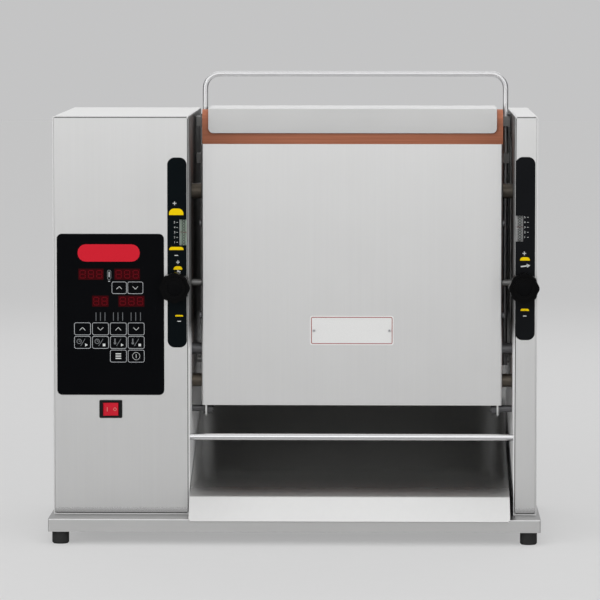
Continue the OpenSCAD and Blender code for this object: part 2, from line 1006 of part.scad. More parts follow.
module insulation_board() {
    y1 = y_house1 - house_t - 2;
    color("khaki")
        difference() {
            box3(x_mid - half_house + house_t + 2, y_house0 + 9, z_house0 + 6,
                x_mid + half_house - house_t - 2, y1, z_house1 - house_t - 2);
            stud_spots()
                rod_y(0, y_house0, y1 + over, 0, stud_d + 2 * gap);
        }
}

// Open-fronted box behind the platen, held to the towers by spacers, with handle lugs
module platen_housing() {
    t = house_t;
    a = x_mid - half_house;
    b = x_mid + half_house;
    spacer = 16;
    color("silver")
        difference() {
            union() {
                box3(a, y_house0, z_house0, b, y_house1, z_house1);
                for (s = [-1, 1], z = [z_house0 + 20, z_lug_low - 40]) {
                    ends = [x_mid + s * (half_house - 1), x_mid + s * half_gap];
                    rod_x(min(ends), max(ends), y_house1 - 14, z, spacer);
                }
                for (s = [-1, 1], z = [z_lug_up, z_lug_low]) {
                    ends = [x_mid + s * (half_house - 1), x_mid + s * (half_gap - 1.5)];
                    box3(min(ends), y_handle - 8, z - lug_h / 2, max(ends), y_handle + 8,
                        z + lug_h / 2);
                }
            }
            box3(a + t, y_house0 - over, z_house0 + t, b - t, y_house1 - t, z_house1 - t);
            for (s = [-1, 1])
                rod_z(x_handle + s * half_handle, y_handle, z_lug_low - lug_h, z_lug_up + lug_h,
                    handle_d + 4 * play);
        }
}

// Flexible sheet hung over the platen
module release_sheet() {
    drop = 75;
    a = x_mid - half_sheet;
    b = x_mid + half_sheet;
    color("sienna")
        difference() {
            along_x(a, b)
                difference() {
                    platen2(gap + release_t, z_platen0 + 4);
                    platen2(gap, z_platen0 + 4 - over);
                }
            box3(a - over, y_platen1 - over, z_platen0, b + over,
                y_platen1 + gap + release_t + over, z_platen1 - drop);
            box3(a - over, y_platen + over, z_platen0, b + over, y_platen1, z_platen0 + 5);
        }
}

// Lift-off cap: front flange with round lower corners, finger notches at the rear edge
module feed_cap() {
    r = 6;
    a = x_mid - half_cap;
    b = x_mid + half_cap;
    z1 = z_cap + cap_t;
    y1 = y_cap + cap_d;
    color("silver")
        difference() {
            union() {
                along_y(y_cap, y_cap + cap_t)
                    union() {
                        box2(a, z1 - cap_h + r, b, z1);
                        box2(a + r, z1 - cap_h, b - r, z1);
                        for (x = [a + r, b - r])
                            translate([x, z1 - cap_h + r])
                                circle(r);
                    }
                box3(a, y_cap, z_cap, b, y1, z1);
            }
            for (s = [-1, 1])
                rod_z(x_mid + s * notch_in, y1, z_cap - over, z1 + over, notch_d);
        }
}

module rear_cover() {
    t = 1.2;
    fold = 14;
    y1 = y_back - 2;
    z0 = z_base + rear_rise;
    z1 = z_top - 8;
    color("silver")
        difference() {
            box3(x_l1, y1 - fold, z0, x_r0, y1, z1);
            box3(x_l1 + t, y1 - fold - over, z0 + t, x_r0 - t, y1 - t, z1 - t);
            along_y(y1 - fold, y1 + over)
                for (k = [-6:6])
                    slot2(x_mid + k * rear_pitch, z1 - 80, z1 - 30, 3);
        }
}

module lift_handle() {
    r = handle_bend;
    x_leg = half_handle;
    z_seat = z_lug_up + lug_h / 2;
    z_end = z_house0 + 12;
    color("gainsboro") {
        rod_x(x_handle - x_leg + r, x_handle + x_leg - r, y_handle, z_handle, handle_d);
        for (s = [-1, 1]) {
            rod_z(x_handle + s * x_leg, y_handle, z_end, z_handle - r, handle_d);
            rod_z(x_handle + s * x_leg, y_handle, z_seat, z_seat + 3, handle_d + 4);
            translate([x_handle + s * (x_leg - r), y_handle, z_handle - r])
                rotate([90, 0, 0])
                    rotate([0, 0, s > 0 ? 0 : 90])
                        rotate_extrude(angle = 90)
                            translate([r, 0])
                                circle(d = handle_d);
        }
    }
}

// Discharge

module front_rod() {
    end = 6;
    color("gainsboro") {
        rod_x(x_l1 - sheet_t - end, x_r0 + sheet_t + end, y_rod, z_rod, rod_d);
        rod_x(x_l1 - sheet_t - 4, x_l1 - sheet_t, y_rod, z_rod, rod_d + 4);
        rod_x(x_r0 + sheet_t, x_r0 + sheet_t + 4, y_rod, z_rod, rod_d + 4);
    }
}

// Height of the chute's lower face behind its bend
function chute_z(y) = z_bend + (y - y_bend) * tan(chute_slope);

// Point of the chute's section: a step along the sheet's normal from one place on it
function off_sheet(place, slope, step) = place + step * [-sin(slope), cos(slope)];

// Section of the chute: square-cut lip, steep front, round bend, long slide
module chute2() {
    lip = [y_chute0 + chute_t * sin(apron_slope),
        z_chute0 + chute_t * sin(apron_slope) * tan(apron_slope)];
    back = [y_chute1, chute_z(y_chute1)];
    half_turn = (apron_slope - chute_slope) / 2;
    hub = off_sheet([y_bend, z_bend], apron_slope - half_turn, -bend_r / cos(half_turn));
    turns = [for (i = [0:5]) apron_slope - i * 2 * half_turn / 5];
    polygon(concat([lip], [for (a = turns) off_sheet(hub, a, bend_r)], [back],
        [off_sheet(back, chute_slope, chute_t)],
        [for (i = [5:-1:0]) off_sheet(hub, turns[i], bend_r + chute_t)],
        [off_sheet(lip, apron_slope, chute_t)]));
}

module discharge_chute() {
    r = 4;
    fold = 8;
    a = x_chute0;
    b = x_chute1;
    y_fold = y_front + 30;
    y_end = y_chute1 - chute_t * sin(chute_slope);
    color("silver")
        intersection() {
            union() {
                along_x(a, b)
                    chute2();
                for (x = [a, b - chute_t])
                    along_x(x, x + chute_t)
                        polygon([[y_fold, chute_z(y_fold) - fold],
                            [y_end, chute_z(y_end) - fold], [y_end, chute_z(y_end) + chute_t / 2],
                            [y_fold, chute_z(y_fold) + chute_t / 2]]);
            }
            along_z(0, chute_z(y_chute1) + 20)
                union() {
                    round2(a, y_chute0, b, y_chute1, r);
                    box2(a, y_chute0 + 2 * r, b, y_chute1);
                }
        }
}

module chute_brackets() {
    y0 = y_front + bracket_in;
    y1 = y_chute1 - bracket_in;
    color("silver")
        for (s = [-1, 1]) {
            x = x_mid + s * 120;
            along_x(x - 1, x + 1)
                polygon([[y0, z_base], [y1, z_base], [y1, chute_z(y1) - 0.01], [y0, chute_z(y0) - 0.01]]);
            box3(x - 9, y0, z_base, x + 9, y1, z_base + 2);
        }
}

// Drive

// Grooved rim of a pulley
module pulley2() {
    difference() {
        circle(pulley_r);
        for (a = [0:groove_n - 1])
            rotate(a * 360 / groove_n)
                translate([pulley_r, 0])
                    circle(groove_r, $fn = 16);
    }
}

// Rim between two flanges that keep the belt on
module timing_pulley(z) {
    half = pulley_w / 2;
    flange = 1;
    along_x(x_timing - half, x_timing + half)
        translate([y_conv, z])
            pulley2();
    for (x = [x_timing - half - flange, x_timing + half])
        rod_x(x, x + flange, y_conv, z, 2 * (pulley_r + timing_t + 1.5));
    rod_x(x_timing - half - flange, x_timing + half + flange, y_conv, z, 2 * pulley_r - 6);
}

module shaft_pulley() {
    hub = 20;
    color("gray")
        difference() {
            union() {
                timing_pulley(z_drive);
                rod_x(x_timing, x_timing + 12, y_conv, z_drive, hub);
            }
            rod_x(x_timing - 20, x_timing + 20, y_conv, z_drive, shaft_d);
        }
}

module motor_pulley() {
    color("gray") {
        timing_pulley(z_motor);
        rod_x(x_timing - 30, x_timing + 8, y_conv, z_motor, motor_shaft);
    }
}

// Endless belt that runs free of the rims
module timing_belt() {
    inner = pulley_r + gap;
    half = pulley_w / 2 - 0.5;
    color("dimgray")
        along_x(x_timing - half, x_timing + half)
            difference() {
                slot2(y_conv, z_motor, z_drive, inner + timing_t);
                slot2(y_conv, z_motor, z_drive, inner);
            }
}

module gear_motor() {
    x0 = x_l0 + sheet_t;
    x_box = x_timing - 62;
    x_face = x_timing - 9;
    color("gray")
        difference() {
            union() {
                box3(x_box, y_conv - 34, z_motor - 36, x_face, y_conv + 34, z_motor + 36);
                rod_x(x_face - over, x_face + 3, y_conv, z_motor, 26);
                rod_y((x_box + x_face) / 2, y_conv + 33, y_conv + 130, z_motor, 50);
                rod_y((x_box + x_face) / 2, y_conv + 129, y_conv + 136, z_motor, 30);
                for (y = [-26, 26], z = [-28, 28])
                    rod_x(x0, x_box + over, y_conv + y, z_motor + z, 10);
            }
            rod_x(x_timing - 31, x_face + 4, y_conv, z_motor, motor_shaft + 2 * play);
        }
}

module board_post_spots() {
    for (x = [mem_x0 + 12, mem_x1 - 9], z = [mem_z0 + 22, mem_z1 - 6])
        translate([x, 0, z])
            children();
}

module board_posts() {
    color("goldenrod")
        board_post_spots()
            rod_y(0, y_front + sheet_t, y_front + post_l, 0, 6);
}

module control_board() {
    y0 = y_front + 16;
    display_h = 13;
    color("darkgreen") {
        box3(mem_x0 + 6, y0, mem_z0 + 16, mem_x1 - 4, y0 + 1.6, mem_z1 - 1);
        // Display blocks and plug rows
        for (p = [[31, 275, 30], [75, 275, 30], [48, 243, 19], [79, 243, 31]])
            box3(x_l0 + p[0], y_front + 5, z_base + p[1], x_l0 + p[0] + p[2], y0 + 0.2,
                z_base + p[1] + display_h);
        box3(mem_x0 + 20, y0 + 1.4, mem_z0 + 40, mem_x0 + 60, y0 + 13, mem_z0 + 52);
        box3(mem_x0 + 70, y0 + 1.4, mem_z0 + 120, mem_x0 + 104, y0 + 22, mem_z0 + 158);
    }
}

module power_relay() {
    x0 = x_l0 + sheet_t;
    y0 = y_front + 178;
    color("ivory") {
        box3(x0, y0, z_base + 60, x0 + 34, y0 + 55, z_base + 120);
        box3(x0 + 33, y0 + 6, z_base + 68, x0 + 40, y0 + 49, z_base + 112);
    }
}

module fan_frame() {
    side = 2 * fan_r + 4;
    color("black")
        difference() {
            along_y(y_fan, y_fan + fan_t)
                round2(fan_x - side / 2, fan_z - side / 2, fan_x + side / 2, fan_z + side / 2, 5);
            difference() {
                rod_y(fan_x, y_fan - over, y_fan + fan_t + over, fan_z, 2 * fan_r);
                rod_y(fan_x, y_fan + fan_t - 6, y_fan + fan_t, fan_z, 28);
                for (a = [0:3])
                    translate([fan_x, 0, fan_z])
                        rotate([0, a * 90 + 45, 0])
                            box3(0, y_fan + fan_t - 6, -2, fan_r + 1, y_fan + fan_t, 2);
            }
            rod_y(fan_x, y_fan + fan_t - 8, y_fan + fan_t - 2, fan_z, 5 + 2 * play);
        }
}

module fan_rotor() {
    y0 = y_fan + 2;
    y1 = y_fan + fan_t - 6 - gap;
    color("dimgray")
        translate([fan_x, 0, fan_z]) {
            rod_y(0, y0, y1, 0, 30);
            rod_y(0, y1 - over, y_fan + fan_t - 3, 0, 5);
            for (a = [0:6])
                rotate([0, a * 360 / 7, 0])
                    translate([13, (y0 + y1) / 2, 0])
                        rotate([35, 0, 0])
                            translate([0, -6, -0.8])
                                cube([fan_r - 15, 12, 1.6]);
        }
}

module cable_gland() {
    color("black")
        difference() {
            union() {
                rod_y(gland_x, y_back - sheet_t - 12, y_back + gland_out, gland_z, 20);
                rod_y(gland_x, y_back - sheet_t - 6, y_back - sheet_t, gland_z, 27);
                rod_y(gland_x, y_back, y_back + gland_out, gland_z, 26);
            }
            rod_y(gland_x, y_back - sheet_t - 13, y_back + gland_out + over, gland_z, 9);
        }
}

base_pan();
feet();
left_wrap();
left_front_panel();
left_rear_panel();
right_wrap();
right_front_panel();
right_rear_panel();
membrane_panel();
left_scale_label();
right_scale_label();
rocker_bezel();
power_rocker();
left_knob();
right_knob();
left_adjust_screw();
right_adjust_screw();
left_adjust_nut();
right_adjust_nut();
left_pointer();
right_pointer();
pointer_guides();
conveyor_side_plates();
conveyor_tie_rods();
front_cover();
cover_pins();
drive_shaft();
drive_roller();
idler_shaft();
idler_roller();
heel_belt();
crown_belt();
heel_pressure_plate();
crown_pressure_plate();
shaft_bearings();
platen();
heating_elements();
temperature_probe();
insulation_board();
platen_housing();
release_sheet();
feed_cap();
rear_cover();
lift_handle();
front_rod();
discharge_chute();
chute_brackets();
gear_motor();
motor_pulley();
shaft_pulley();
timing_belt();
control_board();
board_posts();
power_relay();
fan_frame();
fan_rotor();
cable_gland();
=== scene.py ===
import json
import math

import bpy
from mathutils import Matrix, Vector


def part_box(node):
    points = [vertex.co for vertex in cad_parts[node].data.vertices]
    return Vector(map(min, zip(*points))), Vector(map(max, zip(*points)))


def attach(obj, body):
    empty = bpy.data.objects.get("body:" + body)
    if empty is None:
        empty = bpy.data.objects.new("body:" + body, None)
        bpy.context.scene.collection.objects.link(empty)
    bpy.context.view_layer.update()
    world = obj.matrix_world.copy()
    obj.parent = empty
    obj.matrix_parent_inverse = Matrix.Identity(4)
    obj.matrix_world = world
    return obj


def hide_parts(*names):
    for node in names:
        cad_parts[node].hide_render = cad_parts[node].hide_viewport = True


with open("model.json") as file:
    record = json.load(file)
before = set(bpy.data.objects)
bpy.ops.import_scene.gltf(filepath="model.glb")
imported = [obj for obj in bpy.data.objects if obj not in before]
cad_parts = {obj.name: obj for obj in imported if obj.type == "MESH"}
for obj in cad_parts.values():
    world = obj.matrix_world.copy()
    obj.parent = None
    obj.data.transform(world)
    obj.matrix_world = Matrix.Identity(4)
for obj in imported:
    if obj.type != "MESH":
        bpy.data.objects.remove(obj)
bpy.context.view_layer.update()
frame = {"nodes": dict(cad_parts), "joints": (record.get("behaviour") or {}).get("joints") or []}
print("frame loaded:", len(frame["nodes"]), "nodes")

mm = 0.001
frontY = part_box("left_front_panel")[0][1]      # tower fronts
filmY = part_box("membrane_panel")[0][1]         # face of the control film
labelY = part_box("left_scale_label")[0][1]      # face of the scale labels
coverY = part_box("front_cover")[0][1]


# camera and light

shot = {
    "place": (0.110, -4.938, 0.665),
    "aim": (0.006, -0.138, 0.285),
    "lens": 244.8,
}

camData = bpy.data.cameras.new("shotCamera")
camData.lens = shot["lens"]
camData.sensor_width = 36
camData.clip_end = 50
cam = bpy.data.objects.new("shotCamera", camData)
bpy.context.collection.objects.link(cam)
cam.location = shot["place"]
cam.rotation_euler = (Vector(shot["aim"]) - Vector(shot["place"])).to_track_quat("-Z", "Y").to_euler()
bpy.context.scene.camera = cam
bpy.context.scene.view_settings.view_transform = "Standard"

studio = {
    "fill": 0.42,        # what matt surfaces get from all round
    "backdrop": 0.66,    # what polished metal and glass see
    "page": 0.578,       # what the camera sees behind the floor
    "lamps": [
        # name, place, aim, width, height, watts
        ("topBox", (0.1, -0.3, 2.6), (0.1, -0.25, 0.2), 3.2, 1.7, 11),
        ("leftBox", (-2.8, -2.2, 1.3), (-0.1, -0.1, 0.25), 1.8, 2.2, 27),
        ("rightBox", (2.8, -2.0, 1.3), (0.1, -0.1, 0.25), 1.8, 2.2, 15),
        ("frontBox", (0.1, -4.4, 1.95), (0.0, -0.1, 0.30), 5.0, 2.9, 54),
        ("backBox", (0.0, 2.4, 1.9), (0.0, 0.0, 0.40), 3.6, 1.6, 16),
    ],
}


def hangLamp(name, place, aim, wide, tall, watts):
    lampData = bpy.data.lights.new(name, "AREA")
    lampData.shape = "RECTANGLE"
    lampData.size = wide
    lampData.size_y = tall
    lampData.energy = watts
    lamp = bpy.data.objects.new(name, lampData)
    bpy.context.collection.objects.link(lamp)
    lamp.location = place
    lamp.rotation_euler = (Vector(aim) - Vector(place)).to_track_quat("-Z", "Y").to_euler()
    lamp.visible_camera = False


for lampRow in studio["lamps"]:
    hangLamp(*lampRow)

world = bpy.data.worlds.new("studioWorld")
bpy.context.scene.world = world
world.use_nodes = True
air = world.node_tree
sky = air.nodes["Background"]
sky.inputs["Color"].default_value = (0.955, 0.955, 0.96, 1)
rays = air.nodes.new("ShaderNodeLightPath")
polished = air.nodes.new("ShaderNodeMath")
polished.operation = "MAXIMUM"
level = air.nodes.new("ShaderNodeMapRange")
level.inputs["To Min"].default_value = studio["fill"]
level.inputs["To Max"].default_value = studio["backdrop"]
pageMix = air.nodes.new("ShaderNodeMix")
pageMix.inputs[3].default_value = studio["page"]
air.links.new(rays.outputs["Is Glossy Ray"], polished.inputs[0])
air.links.new(rays.outputs["Is Transmission Ray"], polished.inputs[1])
air.links.new(polished.outputs[0], level.inputs["Value"])
air.links.new(rays.outputs["Is Camera Ray"], pageMix.inputs[0])
air.links.new(level.outputs[0], pageMix.inputs[2])
air.links.new(pageMix.outputs[0], sky.inputs["Strength"])
print("camera and lamps set")


# shader helpers

class Sock:
    def __init__(self, finish, socket):
        self.finish = finish
        self.socket = socket

    def math(self, operation, other, flip=False):
        pair = [other, self] if flip else [self, other]
        return self.finish.add("ShaderNodeMath", {"operation": operation}, {0: pair[0], 1: pair[1]})

    def __add__(self, other):
        return self.math("ADD", other)

    def __radd__(self, other):
        return self.math("ADD", other, True)

    def __sub__(self, other):
        return self.math("SUBTRACT", other)

    def __rsub__(self, other):
        return self.math("SUBTRACT", other, True)

    def __mul__(self, other):
        return self.math("MULTIPLY", other)

    def __rmul__(self, other):
        return self.math("MULTIPLY", other, True)

    def __truediv__(self, other):
        return self.math("DIVIDE", other)

    def __pow__(self, other):
        return self.math("POWER", other)

    def clamp(self):
        return self.finish.add("ShaderNodeClamp", {}, {"Value": self})


class Finish:
    def __init__(self, name):
        self.mat = bpy.data.materials.new(name)
        self.mat.use_nodes = True
        self.tree = self.mat.node_tree
        self.shader = self.tree.nodes["Principled BSDF"]

    def add(self, kind, settings=None, inputs=None, out=0):
        node = self.tree.nodes.new(kind)
        for key, value in (settings or {}).items():
            setattr(node, key, value)
        for key, value in (inputs or {}).items():
            if isinstance(value, Sock):
                self.tree.links.new(value.socket, node.inputs[key])
            else:
                node.inputs[key].default_value = value
        return Sock(self, node.outputs[out])

    def put(self, **values):
        for key, value in values.items():
            socket = self.shader.inputs[key.replace("_", " ")]
            if isinstance(value, Sock):
                self.tree.links.new(value.socket, socket)
            else:
                socket.default_value = value

    def coords(self, scale=(1, 1, 1), turn=(0, 0, 0)):
        place = self.add("ShaderNodeTexCoord", out="Object")
        return self.add("ShaderNodeMapping", {}, {"Vector": place, "Scale": scale, "Rotation": turn})

    def axis(self, name):
        return self.add("ShaderNodeSeparateXYZ", {}, {"Vector": self.coords()}, out=name)

    def noise(self, vector, scale=1.0, detail=3.0, rough=0.5):
        return self.add("ShaderNodeTexNoise", {}, {"Vector": vector, "Scale": scale, "Detail": detail,
                                                   "Roughness": rough})

    def blend(self, factor, first, second):
        return self.add("ShaderNodeMix", {"data_type": "RGBA"}, {0: factor, 6: first, 7: second}, out=2)

    def bump(self, height, strength, distance=0.0002):
        return self.add("ShaderNodeBump", {}, {"Height": height, "Strength": strength, "Distance": distance})


def grey(level, blue=0.0):
    return (level, level, level + blue, 1)


# metals

brush = {"fine": (5, 900), "wide": (2, 170)}   # noise scale along the grain and across it
# painted reflection low on the inner walls and painted shade above, with less metal low down and more
# roughness
wallSatinAndPaintedShading = {"skin": 0.0008, "from": 0.225, "fade": 0.03, "low": 0.92, "high": 0.13, "metal": 0.1, "rough": 0.24}
# painted shade on the deck of the pan and a painted highlight along its front bend
deckPaintedShadeAndHighlight = {"skin": 0.0004, "bendSkin": 0.0010, "bendY": -0.1838, "tone": 0.40, "bright": 0.92}
# painted highlight on the top face of the cap
capTopPaintedHighlight = {"skin": 0.0008, "tone": 0.80}
# smoother foot of the tower fronts with a painted reflection of the deck, painted darker
footSmoothAndPaintedShade = {"tall": 0.009, "share": 0.8, "tone": 0.30, "rough": 0.16}
foldWear = {"deep": 0.085, "rough": 0.34}


def grainScale(along, pair):
    return tuple(pair[0] if letter == along else pair[1] for letter in "XYZ")


def brushedSheet(name, along, tone=0.67, rough=0.30, spread=0.022, metal=1.0,
                 paintedShadingWallX=None, deckZ=None, crestZ=None, footZ=None, foldY=None):
    look = Finish(name)
    streak = look.noise(look.coords(grainScale(along, brush["fine"])), 1.0, 4, 0.6)
    cloud = look.noise(look.coords((3, 3, 3)), 1.6, 3, 0.55)
    smear = look.noise(look.coords((14, 14, 14)), 1.0, 5, 0.6)
    tint = look.blend(streak, grey(tone - spread, -0.006), grey(tone + spread, -0.004))
    band = look.noise(look.coords(grainScale(along, brush["wide"])), 1.0, 3, 0.55)
    shade = look.blend(cloud * 0.3 + band * 0.25, tint, grey(tone * 0.86, -0.004))
    shine = metal
    coarse = rough
    if paintedShadingWallX is not None:   # the wall that faces the other tower is rougher and less metallic low down and dull above; its colour is painted pale low down as a painted reflection and dark above as painted shade
        inner = (look.axis("X") - paintedShadingWallX).math("ABSOLUTE", 0).math("LESS_THAN", wallSatinAndPaintedShading["skin"])
        high = ((look.axis("Z") - wallSatinAndPaintedShading["from"]) / wallSatinAndPaintedShading["fade"]).clamp()
        shade = look.blend(inner, shade, look.blend(high, grey(wallSatinAndPaintedShading["low"]), grey(wallSatinAndPaintedShading["high"])))
        shine = metal - inner * (1 - high) * (metal - wallSatinAndPaintedShading["metal"])
        coarse = rough + inner * wallSatinAndPaintedShading["rough"]
    if deckZ is not None:   # the deck of the pan is painted darker as painted shade, and its front bend is painted bright as a painted highlight
        up = look.axis("Z") - deckZ
        back = look.axis("Y") - deckPaintedShadeAndHighlight["bendY"]
        deck = up.math("GREATER_THAN", -deckPaintedShadeAndHighlight["skin"]) * back.math("GREATER_THAN", 0)
        bend = up.math("GREATER_THAN", -deckPaintedShadeAndHighlight["bendSkin"]) * back.math("LESS_THAN", 0)
        dull = look.blend(deck, shade, grey(tone * deckPaintedShadeAndHighlight["tone"]))
        shade = look.blend(bend, dull, grey(deckPaintedShadeAndHighlight["bright"]))
    if crestZ is not None:   # the top face of the cap is painted bright as a painted highlight
        crest = (look.axis("Z") - crestZ).math("GREATER_THAN", -capTopPaintedHighlight["skin"])
        shade = look.blend(crest, shade, grey(capTopPaintedHighlight["tone"]))
    if footZ is not None:   # the foot of a tower front is made smoother and painted darker, a painted reflection of the deck below
        low = (1 - (look.axis("Z") - footZ) / footSmoothAndPaintedShade["tall"]).clamp()
        shade = look.blend(low * footSmoothAndPaintedShade["share"], shade, grey(tone * footSmoothAndPaintedShade["tone"]))
        coarse = rough - low * footSmoothAndPaintedShade["rough"]
    if foldY is not None:   # buns rub the slide dull towards its fold
        worn = (1 - (look.axis("Y") - foldY) / foldWear["deep"]).clamp()
        coarse = rough + worn * worn * foldWear["rough"]
    look.put(Base_Color=shade, Metallic=shine,
             Roughness=coarse + 0.07 * (streak - 0.5) + 0.06 * (smear - 0.5),
             Normal=look.bump(streak, 0.06, 0.00004))
    return look.mat


def turnedBar(name, along, tone=0.52, rough=0.22):
    look = Finish(name)
    ring = look.noise(look.coords(grainScale(along, (1600, 40))), 1.0, 2, 0.5)
    handling = look.noise(look.coords((20, 20, 20)), 1.0, 4, 0.6)
    look.put(Base_Color=look.blend(handling * 0.5, grey(tone, 0.005), grey(tone * 0.86, 0.01)), Metallic=1.0,
             Roughness=rough + 0.08 * ring + 0.10 * handling, Normal=look.bump(ring, 0.06, 0.00004))
    return look.mat


def darkSteel(name, tone=0.16, face=None):
    look = Finish(name)
    grain = look.noise(look.coords((260, 260, 260)), 1.0, 4, 0.6)
    oil = look.noise(look.coords((18, 18, 18)), 1.0, 4, 0.6)
    look.put(Base_Color=look.blend(oil, face or grey(tone, 0.008), grey(tone * 0.55)), Metallic=0.9,
             Roughness=0.34 + 0.2 * oil, Normal=look.bump(grain, 0.15))
    return look.mat


def castMetal(name, tone):
    look = Finish(name)
    grain = look.noise(look.coords((420, 420, 420)), 1.0, 5, 0.65)
    patch = look.noise(look.coords((16, 16, 16)), 1.0, 3, 0.5)
    look.put(Base_Color=look.blend(patch, grey(tone, 0.004), grey(tone * 0.75)), Metallic=1.0,
             Roughness=0.42 + 0.15 * patch, Normal=look.bump(grain, 0.3))
    return look.mat


def bronzeTurned(name):
    look = Finish(name)
    ring = look.noise(look.coords((900, 60, 60)), 1.0, 2, 0.5)
    dull = look.noise(look.coords((30, 30, 30)), 1.0, 4, 0.6)
    look.put(Base_Color=look.blend(dull, (0.62, 0.42, 0.17, 1), (0.36, 0.22, 0.09, 1)), Metallic=1.0,
             Roughness=0.25 + 0.2 * dull, Normal=look.bump(ring, 0.1))
    return look.mat


# plastics, film and rubber

def mouldedPlastic(name, color, rough=0.42, grainSize=1400, gloss=0.18):
    look = Finish(name)
    grain = look.noise(look.coords((grainSize,) * 3), 1.0, 3, 0.5)
    rub = look.noise(look.coords((40, 40, 40)), 1.0, 4, 0.6)
    pale = tuple(min(1, c * 1.5 + 0.0015) for c in color[:3]) + (1,)
    look.put(Base_Color=look.blend(rub * 0.6, color, pale), Roughness=rough + 0.14 * (rub - 0.5),
             Normal=look.bump(grain, 0.18, 0.00008), Specular_IOR_Level=gloss)
    return look.mat


def printedFilm(name, color, rough=0.30):
    look = Finish(name)
    peel = look.noise(look.coords((700, 700, 700)), 1.0, 2, 0.4)
    haze = look.noise(look.coords((9, 9, 9)), 1.0, 4, 0.6)
    pale = tuple(c * 1.5 + 0.001 for c in color[:3]) + (1,)
    look.put(Base_Color=look.blend(haze, color, pale), Roughness=rough + 0.12 * (haze - 0.5),
             Normal=look.bump(peel, 0.05, 0.00005), Specular_IOR_Level=0.03)
    return look.mat


def ink(name, color, rough=0.4, gloss=0.12):
    look = Finish(name)
    grain = look.noise(look.coords((1800, 1800, 1800)), 1.0, 2, 0.5)
    dim = tuple(c * 0.86 for c in color[:3]) + (1,)
    look.put(Base_Color=look.blend(grain, color, dim), Roughness=rough + 0.1 * grain,
             Specular_IOR_Level=gloss)
    return look.mat


def footRubber(name):
    look = Finish(name)
    grain = look.noise(look.coords((800, 800, 800)), 1.0, 4, 0.6)
    dust = look.noise(look.coords((60, 60, 60)), 1.0, 4, 0.6)
    look.put(Base_Color=look.blend(dust * 0.5, grey(0.018), grey(0.06)), Roughness=0.62 + 0.2 * dust,
             Normal=look.bump(grain, 0.3), Specular_IOR_Level=0.15)
    return look.mat


def ribbedBelt(name):
    look = Finish(name)
    weave = look.noise(look.coords((500, 900, 900)), 1.0, 3, 0.5)
    crumb = look.noise(look.coords((70, 70, 70)), 1.0, 5, 0.65)
    look.put(Base_Color=look.blend(crumb, grey(0.05), (0.10, 0.085, 0.07, 1)), Roughness=0.55 + 0.2 * crumb,
             Normal=look.bump(weave, 0.25))
    return look.mat


def fibreBoard(name):
    look = Finish(name)
    fibre = look.noise(look.coords((120, 900, 300)), 1.0, 5, 0.7)
    look.put(Base_Color=look.blend(fibre, (0.62, 0.56, 0.38, 1), (0.82, 0.77, 0.62, 1)), Roughness=0.9,
             Normal=look.bump(fibre, 0.6, 0.0006))
    return look.mat


gauge = {
    "pitch": 0.00314, "squash": 0.72, "ring": (0.00085, 0.00155), "ringTint": (0.045, 0.06, 0.05, 1),
    "line": 0.0004, "lineTint": (0.10, 0.004, 0.006, 1),
    "left": {"middle": -0.1315, "index": 0.08825, "face": (0.36, 0.46, 0.37, 1),
             "shade": (0.26, 0.34, 0.27, 1)},
    "right": {"middle": 0.2650, "index": 0.08275, "face": (0.38, 0.38, 0.38, 1),
              "shade": (0.27, 0.27, 0.27, 1)},
}


def gaugeStrip(side):   # rows of rings, with a dark index line
    plan = gauge[side]
    look = Finish(side + "Strip")
    across = (look.axis("X") - plan["middle"]) * gauge["squash"]
    up = look.axis("Z")
    step = ((up / gauge["pitch"]).math("FRACT", 0) - 0.5) * gauge["pitch"]
    away = (across * across + step * step) ** 0.5
    ring = away.math("LESS_THAN", gauge["ring"][1]) - away.math("LESS_THAN", gauge["ring"][0])
    dull = look.noise(look.coords((90, 90, 90)), 1.0, 4, 0.6)
    ringed = look.blend(ring, look.blend(dull, plan["face"], plan["shade"]), gauge["ringTint"])
    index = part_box(side + "_scale_label")[1][2] - plan["index"]
    line = (up - index).math("ABSOLUTE", 0).math("LESS_THAN", gauge["line"])
    look.put(Base_Color=look.blend(line, ringed, gauge["lineTint"]), Roughness=0.4 + 0.2 * dull)
    return look.mat


def circuitBoard(name):
    look = Finish(name)
    flat = look.coords((1, 1, 1), (math.pi / 2, 0, 0))
    tracks = look.add("ShaderNodeTexBrick", {"offset": 0.5},
                      {"Vector": flat, "Scale": 160.0, "Mortar Size": 0.03}, out="Fac")
    look.put(Base_Color=look.blend(tracks, (0.015, 0.12, 0.045, 1), (0.05, 0.25, 0.09, 1)),
             Roughness=0.32 + 0.2 * tracks)
    return look.mat


steelUp = brushedSheet("steelUp", "Z", footZ=0.030)
steelAcross = brushedSheet("steelAcross", "X")
leftWrapSteel = brushedSheet("leftWrapSteel", "Z", 0.68, 0.36, 0.022, 0.85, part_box("left_wrap")[1][0])
rightWrapSteel = brushedSheet("rightWrapSteel", "Z", 0.68, 0.36, 0.022, 0.85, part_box("right_wrap")[0][0])
# the same brushed steel painted dark as painted shade, for plates deep inside the machine
steelPaintedShade = brushedSheet("steelPaintedShade", "X", 0.26, 0.36)
steelCover = brushedSheet("steelCover", "Z", 0.68, 0.32)
steelCap = brushedSheet("steelCap", "X", 0.62, 0.24, crestZ=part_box("feed_cap")[1][2])
steelChute = brushedSheet("steelChute", "Y", 0.78, 0.10, foldY=-0.155)
steelBase = brushedSheet("steelBase", "X", 0.58, 0.34, deckZ=0.030)
barAcross = turnedBar("barAcross", "X")
barDeep = turnedBar("barDeep", "Y")
handleSteel = turnedBar("handleSteel", "X", 0.66, 0.34)
rodSteel = turnedBar("rodSteel", "X", 0.66, 0.08)
darkIron = darkSteel("darkIron")
platenCast = castMetal("platenCast", 0.5)
bushBronze = bronzeTurned("bushBronze")
blackMoulding = mouldedPlastic("blackMoulding", (0.006, 0.006, 0.0065, 1), 0.42, 1400, 0.12)
knobBlack = mouldedPlastic("knobBlack", (0.0012, 0.0012, 0.0014, 1), 0.28, 1400, 0.05)
